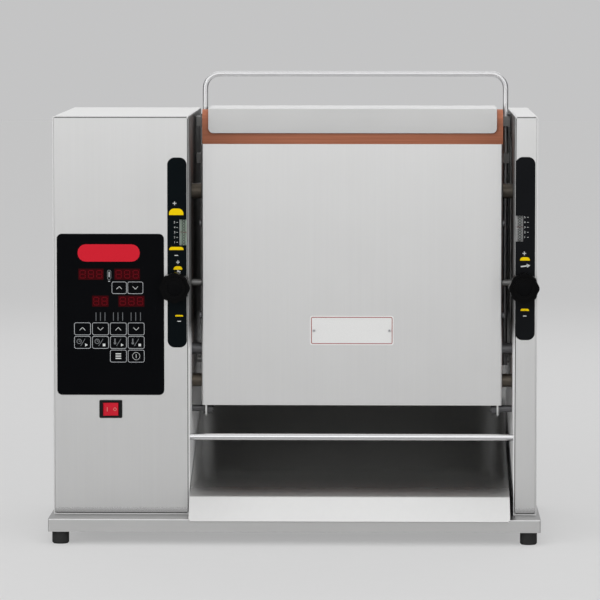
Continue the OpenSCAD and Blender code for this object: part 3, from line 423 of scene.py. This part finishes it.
redMoulding = mouldedPlastic("redMoulding", (0.55, 0.010, 0.026, 1), 0.22)
relayMoulding = mouldedPlastic("relayMoulding", (0.66, 0.63, 0.55, 1), 0.45)
controlFilm = printedFilm("controlFilm", (0.0012, 0.0014, 0.0020, 1))
leftFilm = printedFilm("leftFilm", (0.0016, 0.0032, 0.0042, 1), 0.34)
rightFilm = printedFilm("rightFilm", (0.0055, 0.006, 0.007, 1), 0.34)
rubberBlack = footRubber("rubberBlack")
beltRubber = ribbedBelt("beltRubber")
woolBoard = fibreBoard("woolBoard")
boardGreen = circuitBoard("boardGreen")
motorGrey = mouldedPlastic("motorGrey", (0.10, 0.105, 0.115, 1), 0.4, 500)
leftStrip = gaugeStrip("left")
rightStrip = gaugeStrip("right")
bushSteel = darkSteel("bushSteel", 0.16)
bushOiled = darkSteel("bushOiled", 0.15, (0.15, 0.118, 0.080, 1))
print("finishes made")

coat = {
    "base_pan": steelBase, "feet": rubberBlack, "left_wrap": leftWrapSteel, "right_wrap": rightWrapSteel,
    "left_front_panel": steelUp, "left_rear_panel": steelUp,
    "right_front_panel": steelUp, "right_rear_panel": steelUp,
    "membrane_panel": controlFilm, "left_scale_label": leftFilm, "right_scale_label": rightFilm,
    "rocker_bezel": blackMoulding, "power_rocker": redMoulding,
    "left_knob": knobBlack, "right_knob": knobBlack,
    "left_adjust_screw": barDeep, "right_adjust_screw": barDeep,
    "left_adjust_nut": bushBronze, "right_adjust_nut": bushBronze,
    "left_pointer": leftStrip, "right_pointer": rightStrip, "pointer_guides": blackMoulding,
    "conveyor_side_plates": steelUp, "conveyor_tie_rods": bushSteel,
    "front_cover": steelCover, "cover_pins": bushSteel,
    "drive_shaft": barAcross, "drive_roller": darkIron, "idler_shaft": barAcross, "idler_roller": darkIron,
    "heel_belt": beltRubber, "crown_belt": beltRubber,
    "heel_pressure_plate": steelPaintedShade, "crown_pressure_plate": steelPaintedShade, "shaft_bearings": bushOiled,
    "platen": platenCast, "heating_elements": darkIron, "temperature_probe": barDeep,
    "insulation_board": woolBoard, "platen_housing": steelPaintedShade,
    "feed_cap": steelCap, "rear_cover": steelAcross, "lift_handle": handleSteel, "front_rod": rodSteel,
    "discharge_chute": steelChute, "chute_brackets": steelPaintedShade,
    "gear_motor": motorGrey, "motor_pulley": darkIron, "shaft_pulley": darkIron, "timing_belt": beltRubber,
    "control_board": boardGreen, "board_posts": bushBronze, "power_relay": relayMoulding,
    "fan_frame": blackMoulding, "fan_rotor": blackMoulding, "cable_gland": blackMoulding,
}

for nodeName, finishMat in coat.items():
    cadObject = frame["nodes"][nodeName]
    cadObject.data.materials.clear()
    cadObject.data.materials.append(finishMat)
print("nodes coated:", len(coat))


# modelling helpers

def deselect():
    if bpy.context.mode != "OBJECT":
        bpy.ops.object.mode_set(mode="OBJECT")
    bpy.ops.object.select_all(action="DESELECT")


def settle():
    bpy.ops.object.mode_set(mode="OBJECT")
    bpy.ops.object.transform_apply(location=True, rotation=True, scale=True)
    return bpy.context.object


def pick(piece):
    deselect()
    piece.select_set(True)
    bpy.context.view_layer.objects.active = piece


def jointSpot(name):
    return [joint["pos_m"] for joint in frame["joints"] if joint["name"] == name][0]


def joined(parts, name):
    deselect()
    for part in parts:
        part.select_set(True)
    bpy.context.view_layer.objects.active = parts[0]
    if len(parts) > 1:
        bpy.ops.object.join()
    whole = bpy.context.object
    whole.name = name
    return whole


def thicken(piece, depth):
    pick(piece)
    shell = piece.modifiers.new("thick", "SOLIDIFY")
    shell.thickness = depth
    shell.offset = -1
    bpy.ops.object.modifier_apply(modifier=shell.name)


# flat printed shapes that face the front, in the plane y

def flatBar(x, z, wide, tall, y, corner=0.0, turn=0.0, line=0.0, swing=0.0):
    deselect()
    bpy.ops.mesh.primitive_plane_add(size=1, location=(x, y, z), rotation=(math.pi / 2, turn, swing))
    bpy.context.object.scale = (wide, tall, 1)
    settle()
    bpy.ops.object.mode_set(mode="EDIT")
    bpy.ops.mesh.select_all(action="SELECT")
    if corner:
        bpy.ops.mesh.bevel(offset=corner, segments=4, affect="VERTICES")
    if line:
        bpy.ops.mesh.inset(thickness=line, depth=0)
        bpy.ops.mesh.delete(type="FACE")
    return settle()


def flatDisc(x, z, radius, y, line=0.0, sides=24, turn=0.0, swing=0.0):
    deselect()
    bpy.ops.mesh.primitive_circle_add(vertices=sides, radius=radius, fill_type="NGON",
                                      location=(x, y, z), rotation=(math.pi / 2, turn, swing))
    settle()
    if line:
        bpy.ops.object.mode_set(mode="EDIT")
        bpy.ops.mesh.select_all(action="SELECT")
        bpy.ops.mesh.inset(thickness=line, depth=0)
        bpy.ops.mesh.delete(type="FACE")
    return settle()


def flatDome(x, z, wide, tall, y):
    deselect()
    bpy.ops.mesh.primitive_plane_add(size=1, location=(x, y, z + tall / 2), rotation=(math.pi / 2, 0, 0))
    bpy.context.object.scale = (wide, tall, 1)
    dome = settle()
    for part in (dome.data.polygons, dome.data.edges):
        for item in part:
            item.select = False
    for vert in dome.data.vertices:
        vert.select = vert.co.z > z + tall / 2
    bpy.ops.object.mode_set(mode="EDIT")
    bpy.ops.mesh.bevel(offset=min(tall * 0.86, wide * 0.36), segments=7, affect="VERTICES")
    return settle()


def flatNumber(text, x, z, tall, y):
    deselect()
    bpy.ops.object.text_add(location=(x, y, z), rotation=(math.pi / 2, 0, 0))
    words = bpy.context.object
    words.data.body = text
    words.data.size = tall
    words.data.align_x = "CENTER"
    words.data.align_y = "CENTER"
    bpy.ops.object.convert(target="MESH")
    return settle()


def chevron(x, z, wide, line, y, up=True):
    slope = math.radians(45)
    lean = slope * (1 if up else -1)
    reach = wide / 2 / math.cos(slope)
    return [flatBar(x - wide / 4, z, reach, line, y, turn=-lean),
            flatBar(x + wide / 4, z, reach, line, y, turn=lean)]


inkDepth = 0.00012


def printOn(parts, name, finishMat, body):
    piece = joined(parts, name)
    thicken(piece, inkDepth)
    piece.data.materials.clear()
    piece.data.materials.append(finishMat)
    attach(piece, body)


# control film

panel = {
    "bar": (61.4, 22.6, 73.4, 20.5),
    "displays": [(40.4, 47.8, 29.8, 13.2, 3), (83.2, 47.8, 30.3, 13.2, 3),
                 (51.4, 79.7, 19.5, 13.1, 2), (88.1, 79.7, 30.8, 13.1, 3)],
    "keyWide": 19.6, "keyTall": 14.8, "keyCorner": 2.2, "keyLine": 0.52,
    "keyColumns": [30.1, 51.4, 72.5, 93.6],
    "keyRows": [112.5, 128.6, 144.8],
    "upperKeys": [(73.7, 63.8, 17.6, 14.4), (92.8, 63.8, 18.4, 14.4)],
    "ticks": [46.2, 51.4, 56.8, 66.8, 72.2, 77.7, 87.7, 93.2, 98.8],
    "tickDrop": 98.0, "tickTall": 10.0, "tickWide": 0.8,
    "barCorner": 9.6, "glassCorner": 0.8,
}
icons = {
    "chevron": 6.6, "upperChevron": 6.4, "chevronLine": 0.58,
    "signIn": 4.0, "signUp": 1.2, "actionOut": 4.2, "actionDrop": 3.0, "play": 2.1, "stop": 3.0,
    "slashOut": 0.4, "slash": (0.6, 10.0), "slashLean": 32,
    "clock": 3.0, "clockLine": 0.7, "hand": 0.6, "longHand": 1.8, "shortHand": 1.5, "shortOut": 0.7,
    "stem": (1.5, 5.0, 0.7), "stemUp": 1.0, "bulb": 1.5, "bulbDrop": 2.0,
    "bars": (6.6, 1.3), "barPitch": 2.7,
    "power": 4.6, "powerLine": 0.38, "powerBar": (0.55, 4.4),
    "probe": (61.9, 49.5), "probeStem": (1.3, 6.4, 0.6), "probeStemUp": 1.4,
    "probeFoot": (2.2, 0.9), "probeFootDrop": 6.6,
    "probeCase": (4.6, 11.6, 2.2), "probeCaseUp": 1.0, "probeLine": 0.55,
}
panelLow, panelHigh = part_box("membrane_panel")
inkY = filmY - inkDepth


def panelSpot(across, down):
    return panelLow[0] + across * mm, panelHigh[2] - down * mm


paleInk = ink("paleInk", (0.56, 0.58, 0.60, 1))
dimInk = ink("dimInk", (0.22, 0.23, 0.24, 1))
redInk = ink("redInk", (0.72, 0.012, 0.030, 1), 0.35)
yellowInk = ink("yellowInk", (1.0, 0.70, 0.001, 1), 0.4, 0.06)
greyInk = ink("greyInk", (0.16, 0.17, 0.18, 1))
glassInk = ink("glassInk", (0.045, 0.0008, 0.0025, 1), 0.2, 0.05)
segmentInk = ink("segmentInk", (0.13, 0.0015, 0.006, 1), 0.3, 0.05)
whiteInk = ink("whiteInk", (0.75, 0.77, 0.76, 1))


def keyFrame(across, down, wide, tall):
    x, z = panelSpot(across, down)
    return flatBar(x, z, wide * mm, tall * mm, inkY, panel["keyCorner"] * mm, 0, panel["keyLine"] * mm)


def keyBar(x, z, size, corner=0.0, turn=0.0, line=0.0):
    return flatBar(x, z, size[0] * mm, size[1] * mm, inkY, corner * mm, turn, line * mm)


def iconClock(x, z):
    long, short, hand = icons["longHand"], icons["shortHand"], icons["hand"]
    return [flatDisc(x, z, icons["clock"] * mm, inkY, icons["clockLine"] * mm, 20),
            keyBar(x, z + long / 2 * mm, (hand, long)),
            keyBar(x + icons["shortOut"] * mm, z, (short, hand))]


def iconHeat(x, z):
    return [keyBar(x, z + icons["stemUp"] * mm, icons["stem"], icons["stem"][2]),
            flatDisc(x, z - icons["bulbDrop"] * mm, icons["bulb"] * mm, inkY, 0, 16)]


def iconPlay(x, z):
    return [flatDisc(x, z, icons["play"] * mm, inkY, 0, 3, math.pi / 2)]


def iconStop(x, z):
    return [keyBar(x, z, (icons["stop"], icons["stop"]))]


keyLines = []
dimLines = []
brightMarks = []
for across in panel["keyColumns"]:
    for row, down in enumerate(panel["keyRows"]):
        if row < 2 or across > panel["keyColumns"][1]:
            keyLines.append(keyFrame(across, down, panel["keyWide"], panel["keyTall"]))
for across, down, wide, tall in panel["upperKeys"]:
    keyLines.append(keyFrame(across, down, wide, tall))
for column, across in enumerate(panel["keyColumns"]):
    x, z = panelSpot(across, panel["keyRows"][0])
    brightMarks += chevron(x, z, icons["chevron"] * mm, icons["chevronLine"] * mm, inkY, column % 2 == 0)
    x, z = panelSpot(across, panel["keyRows"][1])
    sign = iconClock if column < 2 else iconHeat
    dimLines += sign(x - icons["signIn"] * mm, z + icons["signUp"] * mm)
    slashTurn = math.radians(icons["slashLean"])
    dimLines.append(keyBar(x + icons["slashOut"] * mm, z, icons["slash"], 0, slashTurn))
    action = iconPlay if column % 2 == 0 else iconStop
    brightMarks += action(x + icons["actionOut"] * mm, z - icons["actionDrop"] * mm)
for place, up in zip(panel["upperKeys"], (True, False)):
    x, z = panelSpot(place[0], place[1])
    brightMarks += chevron(x, z, icons["upperChevron"] * mm, icons["chevronLine"] * mm, inkY, up)
x, z = panelSpot(panel["keyColumns"][2], panel["keyRows"][2])
for step in (-1, 0, 1):
    brightMarks.append(keyBar(x, z + step * icons["barPitch"] * mm, icons["bars"]))
x, z = panelSpot(panel["keyColumns"][3], panel["keyRows"][2])
brightMarks += [flatDisc(x, z, icons["power"] * mm, inkY, icons["powerLine"] * mm),
                keyBar(x, z, icons["powerBar"])]
x, z = panelSpot(*icons["probe"])
keyLines += [keyBar(x, z + icons["probeStemUp"] * mm, icons["probeStem"], icons["probeStem"][2]),
             keyBar(x, z - icons["probeFootDrop"] * mm, icons["probeFoot"])]
dimLines.append(keyBar(x, z + icons["probeCaseUp"] * mm, icons["probeCase"], icons["probeCase"][2], 0,
                       icons["probeLine"]))
printOn(keyLines, "panelKeyLines", paleInk, "chassis")
printOn(dimLines, "panelKeyIcons", dimInk, "chassis")
printOn(brightMarks, "panelKeyMarks", whiteInk, "chassis")

tickLines = []
for across in panel["ticks"]:
    x, z = panelSpot(across, panel["tickDrop"])
    tickLines.append(flatBar(x, z, panel["tickWide"] * mm, panel["tickTall"] * mm, inkY))
printOn(tickLines, "panelTicks", greyInk, "chassis")

barIn, barDown, barWide, barTall = panel["bar"]
x, z = panelSpot(barIn, barDown)
printOn([keyBar(x, z, (barWide, barTall), panel["barCorner"])], "panelBar", redInk, "chassis")


def digit(x, z, wide, tall, y):
    line = 0.15 * wide
    corner = line * 0.45
    half = tall / 2 - line / 2
    out = wide / 2 - line / 2
    parts = [flatBar(x, z + step * half, wide * 0.74, line, y, corner) for step in (-1, 0, 1)]
    for side in (-1, 1):
        for end in (-1, 1):
            parts.append(flatBar(x + side * out, z + end * half / 2, line, half * 0.86, y, corner))
    return parts


glassParts = []
segments = []
for across, down, wide, tall, count in panel["displays"]:
    x, z = panelSpot(across, down)
    glassParts.append(keyBar(x, z, (wide, tall), panel["glassCorner"]))
    pitch = wide * mm / count
    for place in range(count):
        digitX = x + (place - (count - 1) / 2) * pitch
        segments += digit(digitX, z, pitch * 0.72, tall * mm * 0.76, inkY - inkDepth)
printOn(glassParts, "displayGlass", glassInk, "chassis")
printOn(segments, "displayDigits", segmentInk, "chassis")
print("control film printed")


# scale labels

scales = {
    "tick": (1.6, 0.5), "arrowWide": 1.5, "arrowHead": 2.7, "sign": (4.2, 0.9),
    "left": {"node": "left_scale_label", "domes": [(10.5, 67.8, 17.1, 7.7), (10.6, 109.1, 16.9, 3.7),
                                                   (12.4, 132.4, 10.3, 4.1), (13.7, 187.8, 9.4, 1.8)],
             "numbers": (8.6, 76.5, 100.0, 3.4), "pointerTicks": 11.6, "arrow": (14.6, 137.0, 35, 5.2),
             "plus": [(8.6, 54.0), (12.4, 123.5)], "minus": [(10.6, 115.5), (13.7, 193.5)]},
    "right": {"node": "right_scale_label", "domes": [(11.4, 122.0, 11.4, 4.0), (11.4, 181.5, 10.0, 2.6)],
              "numbers": (11.0, 71.0, 94.5, 3.4), "pointerTicks": 14.6, "arrow": (10.8, 128.6, -82, 8.6),
              "plus": [(10.6, 113.5)], "minus": [(11.4, 187.5)]},
}


def labelPrint(side):
    plan = scales[side]
    low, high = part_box(plan["node"])
    y = labelY - inkDepth

    def spot(across, down):
        return low[0] + across * mm, high[2] - down * mm

    yellow = []
    for across, down, wide, tall in plan["domes"]:
        x, z = spot(across, down)
        yellow.append(flatDome(x, z, wide * mm, tall * mm, y))
    printOn(yellow, side + "ScaleDomes", yellowInk, "chassis")
    across, first, last, tall = plan["numbers"]
    pale = []
    for step in range(5):
        x, z = spot(across, first + (last - first) * step / 4)
        pale.append(flatNumber(str(5 - step), x, z, tall * mm, y))
        x, z = spot(plan["pointerTicks"], first + (last - first) * step / 4)
        pale.append(flatBar(x, z, scales["tick"][0] * mm, scales["tick"][1] * mm, y))
    across, down, lean, long = plan["arrow"]
    x, z = spot(across, down)
    turn = math.radians(-lean)
    tip = long / 2 * mm
    tipX, tipZ = x + tip * math.sin(turn), z + tip * math.cos(turn)
    pale += [flatBar(x, z, scales["arrowWide"] * mm, long * mm, y, 0, turn),
             flatDisc(tipX, tipZ, scales["arrowHead"] * mm, y, 0, 3, turn)]
    signLong, signLine = scales["sign"][0] * mm, scales["sign"][1] * mm
    for across, down in plan["plus"]:
        x, z = spot(across, down)
        pale += [flatBar(x, z, signLong, signLine, y), flatBar(x, z, signLine, signLong, y)]
    for across, down in plan["minus"]:
        x, z = spot(across, down)
        pale.append(flatBar(x, z, signLong, signLine, y))
    printOn(pale, side + "ScaleMarks", whiteInk, "chassis")


for side in ("left", "right"):
    labelPrint(side)
print("scale labels printed")


# bare plate on the cover

plate = {
    "x": 66.7, "z": 244.7, "wide": 100.0, "tall": 35.2, "corner": 2.5, "deep": 0.6,
    "line": 0.8, "lineIn": 1.5, "lineCorner": 2.0, "screwIn": 5.0, "screw": 1.9,
}
# shares of the head's radius
screwHead = {"deep": 0.55, "round": 0.2, "slotLong": 1.1, "slotWide": 0.22, "slotOut": 0.56}


def panHead(x, y, z, radius, name, body, back=False):
    deep = radius * screwHead["deep"]
    deselect()
    bpy.ops.mesh.primitive_cylinder_add(vertices=24, radius=radius, depth=deep,
                                        location=(x, y - deep / 2, z), rotation=(math.pi / 2, 0, 0))
    settle()
    bpy.ops.object.mode_set(mode="EDIT")
    bpy.ops.mesh.select_all(action="SELECT")
    bpy.ops.mesh.bevel(offset=radius * screwHead["round"], segments=3, affect="EDGES")
    head = settle()
    head.data.materials.append(screwSteel)
    slotLong, slotWide = radius * screwHead["slotLong"], radius * screwHead["slotWide"]
    slotY = y - radius * screwHead["slotOut"]
    parts = [head]
    # the cross slot is a dark flat mark on the head, painted shade standing in for the recess
    for wide, tall in ((slotLong, slotWide), (slotWide, slotLong)):
        slot = flatBar(x, z, wide, tall, slotY, 0, math.radians(45))
        slot.data.materials.append(blackCardAndSlotShade)
        parts.append(slot)
    piece = joined(parts, name)
    pick(piece)
    bpy.ops.object.shade_smooth_by_angle(angle=math.radians(40))
    if back:
        bpy.ops.transform.rotate(value=math.pi, orient_axis="Z", center_override=(x, y, z))
        settle()
    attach(piece, body)


screwSteel = turnedBar("screwSteel", "Y", 0.6, 0.25)
# near black: painted shade in the screw slots, and the cards' own black
blackCardAndSlotShade = ink("blackCardAndSlotShade", (0.02, 0.02, 0.022, 1), 0.6)
plateEnamel = ink("plateEnamel", (0.88, 0.88, 0.87, 1), 0.35)
rustInk = ink("rustInk", (0.36, 0.035, 0.03, 1))

plateX, plateZ = plate["x"] * mm, plate["z"] * mm
plateWide, plateTall = plate["wide"] * mm, plate["tall"] * mm
plateY = coverY - plate["deep"] * mm
platePiece = flatBar(plateX, plateZ, plateWide, plateTall, plateY, plate["corner"] * mm)
platePiece.name = "bareplate"
thicken(platePiece, plate["deep"] * mm)
platePiece.data.materials.append(plateEnamel)
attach(platePiece, "cover")
lineIn = 2 * plate["lineIn"] * mm
plateLine = flatBar(plateX, plateZ, plateWide - lineIn, plateTall - lineIn, plateY - inkDepth,
                    plate["lineCorner"] * mm, 0, plate["line"] * mm)
printOn([plateLine], "bareplateLine", rustInk, "cover")
for side, label in ((-1, "left"), (1, "right")):
    screwX = (plate["x"] + side * (plate["wide"] / 2 - plate["screwIn"])) * mm
    panHead(screwX, plateY, plateZ, plate["screw"] * mm, label + "PlateScrew", "cover")
print("plate fixed to the cover")


# screws at the back

backScrews = {
    "radius": 2.6, "in": 9.0,
    "nodes": [("left_rear_panel", (0, 1), (0, 0.5, 1)),   # shares across and up
              ("right_rear_panel", (0.5,), (0, 0.5, 1)),
              ("rear_cover", (0, 0.5, 1), (0, 1))],
}

for node, acrossList, upList in backScrews["nodes"]:
    low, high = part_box(node)
    rim = backScrews["in"] * mm
    for i, across in enumerate(acrossList):
        for k, up in enumerate(upList):
            screwX = low[0] + rim + (high[0] - low[0] - 2 * rim) * across
            screwZ = low[2] + rim + (high[2] - low[2] - 2 * rim) * up
            panHead(screwX, high[1], screwZ, backScrews["radius"] * mm,
                    node + "Screw" + str(i) + str(k), "chassis", True)
print("rear screws set")


# thin dark strips along the joints of each tower front, painted shade in the joint gaps

seam = {"panels": [("left_front_panel", 1), ("right_front_panel", 0)], "wide": 0.9, "end": 2.0, "joint": 0.15}
jointShadeStrips = []
jointShadeY = frontY - inkDepth
jointShadeWide, jointShadeGap = seam["wide"] * mm, seam["joint"] * mm
for panelName, innerSide in seam["panels"]:
    low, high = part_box(panelName)
    midX, midZ = (low[0] + high[0]) / 2, (low[2] + high[2]) / 2
    for z in (low[2] - jointShadeGap, high[2] + jointShadeGap):
        jointShadeStrips.append(flatBar(midX, z, high[0] - low[0] - seam["end"] * mm, jointShadeWide, jointShadeY))
    x = high[0] + jointShadeGap if innerSide else low[0] - jointShadeGap
    jointShadeStrips.append(flatBar(x, midZ, jointShadeWide, high[2] - low[2] - seam["end"] * mm, jointShadeY))
# near black, painted shade along the joints of the tower fronts
jointShadeInk = ink("jointShadeInk", (0.006, 0.006, 0.0065, 1), 0.5, 0.05)
printOn(jointShadeStrips, "frontJointShade", jointShadeInk, "chassis")
print("front joints sealed")


# inserts in the knobs' recesses

insert = {"radius": 8.8, "deep": 0.9, "floor": 1.6, "crown": 3.0, "rise": 0.3}
insertPlastic = mouldedPlastic("insertPlastic", (0.0012, 0.0013, 0.0016, 1), 0.30, 900, 0.04)


def knobInsert(side):
    pivot = jointSpot(side + "_knob_turn")
    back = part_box(side + "_knob")[0][1] + insert["floor"] * mm
    deselect()
    bpy.ops.mesh.primitive_cylinder_add(vertices=48, radius=insert["radius"] * mm, depth=insert["deep"] * mm,
                                        location=(pivot[0], back - insert["deep"] / 2 * mm, pivot[2]),
                                        rotation=(math.pi / 2, 0, 0))
    piece = settle()
    piece.name = side + "KnobInsert"
    for part in (piece.data.vertices, piece.data.edges):
        for item in part:
            item.select = False
    for face in piece.data.polygons:
        face.select = face.normal.y < -0.9
    bpy.ops.object.mode_set(mode="EDIT")
    bpy.ops.mesh.select_mode(type="FACE")
    bpy.ops.mesh.inset(thickness=insert["crown"] * mm, depth=insert["rise"] * mm)
    bpy.ops.mesh.select_mode(type="VERT")
    settle()
    bpy.ops.object.shade_smooth_by_angle(angle=math.radians(30))
    piece.data.materials.append(insertPlastic)
    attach(piece, side + "_adjuster")


for side in ("left", "right"):
    knobInsert(side)
print("knobs fitted with inserts")


# marks on the rocker

rocker = {
    "tilt": 8, "fall": (1.8, 18.5), "crest": 3.6, "out": 4.6,
    "bar": (0.9, 5.0), "ring": 2.0, "ringLine": 0.7,
}
rockPivot = jointSpot("power_rock")
rockTilt = math.radians(rocker["tilt"])
rockFall = math.atan(rocker["fall"][0] / rocker["fall"][1])
rockMarks = []
for side in (-1, 1):
    depth = -(rocker["crest"] + rocker["out"] * math.tan(rockFall)) * mm - inkDepth
    out = side * rocker["out"] * mm
    x = rockPivot[0] + out * math.cos(rockTilt) - depth * math.sin(rockTilt)
    y = rockPivot[1] + out * math.sin(rockTilt) + depth * math.cos(rockTilt)
    lean = rockTilt - side * rockFall
    if side < 0:
        barWide, barTall = rocker["bar"]
        rockMarks.append(flatBar(x, rockPivot[2], barWide * mm, barTall * mm, y, swing=lean))
    else:
        ringLine = rocker["ringLine"] * mm
        rockMarks.append(flatDisc(x, rockPivot[2], rocker["ring"] * mm, y, ringLine, swing=lean))
printOn(rockMarks, "rockerMarks", ink("rockerInk", (0.72, 0.22, 0.20, 1)), "rocker")
print("rocker marked")


# release sheet draped over the platen

cloth = {
    "thick": 0.0004, "cells": 36, "steps": 16, "bend": 0.0115, "bendSteps": 6, "skin": 0.0003,
    "backDrop": 0.062, "backSteps": 4,
    "wave": 0.0016, "waveFrom": 0.045, "waveOver": 0.25, "weave": 260.0,
}


def clothLook():
    look = Finish("releaseWeave")
    spot = look.coords()
    threads = [look.add("ShaderNodeTexWave", {"wave_type": "BANDS", "bands_direction": way},
                        {"Vector": spot, "Scale": cloth["weave"]}) for way in "XZ"]
    weave = threads[0] * 0.5 + threads[1] * 0.5
    burn = look.noise(look.coords((7, 7, 3)), 1.0, 5, 0.6)
    ripple = look.noise(look.coords((6, 6, 420)), 1.0, 3, 0.6)
    toast = look.blend(burn, (0.66, 0.226, 0.118, 1), (0.51, 0.163, 0.083, 1))
    streak = ((ripple - 0.38) * 4.0).clamp()
    base = look.blend(streak * 0.6, toast, (0.40, 0.119, 0.055, 1))
    look.put(Base_Color=look.blend(weave * 0.35, base, (0.68, 0.29, 0.165, 1)), Roughness=0.42 + 0.2 * burn,
             Normal=look.bump(weave, 0.25, 0.0001), Specular_IOR_Level=0.35)
    return look.mat


clothLow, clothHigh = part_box("release_sheet")
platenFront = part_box("platen")[0][1]


def clothPath():
    bend, turns = cloth["bend"], cloth["bendSteps"]
    clothFront, clothBack = clothLow[1] + cloth["skin"], clothHigh[1] - cloth["skin"]
    bendZ = clothHigh[2] - cloth["skin"] - bend
    points = []
    for step in range(cloth["steps"] + 1):
        points.append((clothFront, clothLow[2] + (bendZ - clothLow[2]) * step / cloth["steps"]))
    for step in range(1, turns + 1):
        a = math.pi / 2 * step / turns
        points.append((clothFront + bend - bend * math.cos(a), bendZ + bend * math.sin(a)))
    for step in range(turns + 1):
        a = math.pi / 2 * step / turns
        points.append((clothBack - bend + bend * math.sin(a), bendZ + bend * math.cos(a)))
    for step in range(1, cloth["backSteps"] + 1):
        points.append((clothBack, bendZ - cloth["backDrop"] * step / cloth["backSteps"]))
    return points


def layCloth():
    path = clothPath()
    deselect()
    bpy.ops.mesh.primitive_grid_add(x_subdivisions=cloth["cells"], y_subdivisions=1, size=1)
    strip = bpy.context.object
    strip.name = "releaseCloth"
    strip.scale = (clothHigh[0] - clothLow[0], 1, 1)
    settle()
    bpy.ops.object.mode_set(mode="EDIT")
    bpy.ops.mesh.select_all(action="SELECT")
    bpy.ops.mesh.delete(type="ONLY_FACE")
    bpy.ops.object.mode_set(mode="OBJECT")
    for vert in strip.data.vertices:
        vert.select = vert.co.y > 0
    bpy.ops.object.mode_set(mode="EDIT")
    bpy.ops.mesh.delete(type="VERT")
    bpy.ops.mesh.select_all(action="SELECT")
    midX = (clothLow[0] + clothHigh[0]) / 2
    bpy.ops.transform.translate(value=(midX, path[0][0] + 0.5, path[0][1]))
    for before, here in zip(path, path[1:]):
        move = (0, here[0] - before[0], here[1] - before[1])
        bpy.ops.mesh.extrude_region_move(TRANSFORM_OT_translate={"value": move})
    bpy.ops.mesh.select_all(action="SELECT")
    bpy.ops.mesh.normals_make_consistent(inside=False)
    return settle(), path


clothPiece, clothLine = layCloth()
for vert in clothPiece.data.vertices:
    if vert.co.y < platenFront:
        hang = (clothHigh[2] - cloth["waveFrom"] - vert.co.z) / cloth["waveOver"]
        hang = min(1.0, max(0.0, hang))
        wave = math.sin(vert.co.x * 31) * 0.6 + math.sin(vert.co.x * 67 + vert.co.z * 9) * 0.4
        vert.co.y -= cloth["wave"] * hang * (1.0 + wave)
thicken(clothPiece, cloth["thick"])
clothPiece.data.materials.append(clothLook())
pick(clothPiece)
bpy.ops.object.shade_smooth_by_angle(angle=math.radians(50))
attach(clothPiece, "chassis")
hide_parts("release_sheet")


# floor

floorSet = {
    "size": 24.0, "behind": 2.0, "color": (0.82, 0.82, 0.82, 1), "shade": (0.79, 0.79, 0.79, 1),
    "glow": 0.92, "share": 0.5,   # of the paper's own light, for the camera alone
}

deselect()
bpy.ops.mesh.primitive_plane_add(size=floorSet["size"], location=(0, floorSet["behind"], 0))
floorPiece = bpy.context.object
floorPiece.name = "studioFloor"
bpy.ops.object.transform_apply(location=True, rotation=True, scale=True)
floorLook = Finish("floorPaper")
speck = floorLook.noise(floorLook.coords((40, 40, 40)), 1.0, 4, 0.6)
floorLook.put(Base_Color=floorLook.blend(speck, floorSet["color"], floorSet["shade"]), Roughness=0.9)
pageGlow = floorLook.add("ShaderNodeEmission", {}, {"Color": floorSet["color"], "Strength": floorSet["glow"]})
toCamera = floorLook.add("ShaderNodeLightPath", out="Is Camera Ray") * floorSet["share"]
floorOut = floorLook.tree.nodes["Material Output"]
paper = Sock(floorLook, floorLook.shader.outputs[0])
page = floorLook.add("ShaderNodeMixShader", {}, {0: toCamera, 1: paper, 2: pageGlow})
floorLook.tree.links.new(page.socket, floorOut.inputs["Surface"])
floorPiece.data.materials.append(floorLook.mat)

# black cards beside the set, for dark edges on the metal
cards = {"away": 2.3, "deep": 3.0, "tall": 2.0, "behind": 0.6}
for side in (-1, 1):
    deselect()
    cardSpot = (side * cards["away"], cards["behind"], cards["tall"] / 2)
    bpy.ops.mesh.primitive_plane_add(size=1, location=cardSpot, rotation=(0, math.pi / 2, 0))
    card = bpy.context.object
    card.name = "leftCard" if side < 0 else "rightCard"
    card.scale = (cards["tall"], cards["deep"], 1)
    settle()
    card.data.materials.append(blackCardAndSlotShade)
    card.visible_camera = False
    card.visible_shadow = False
print("floor and cards set")
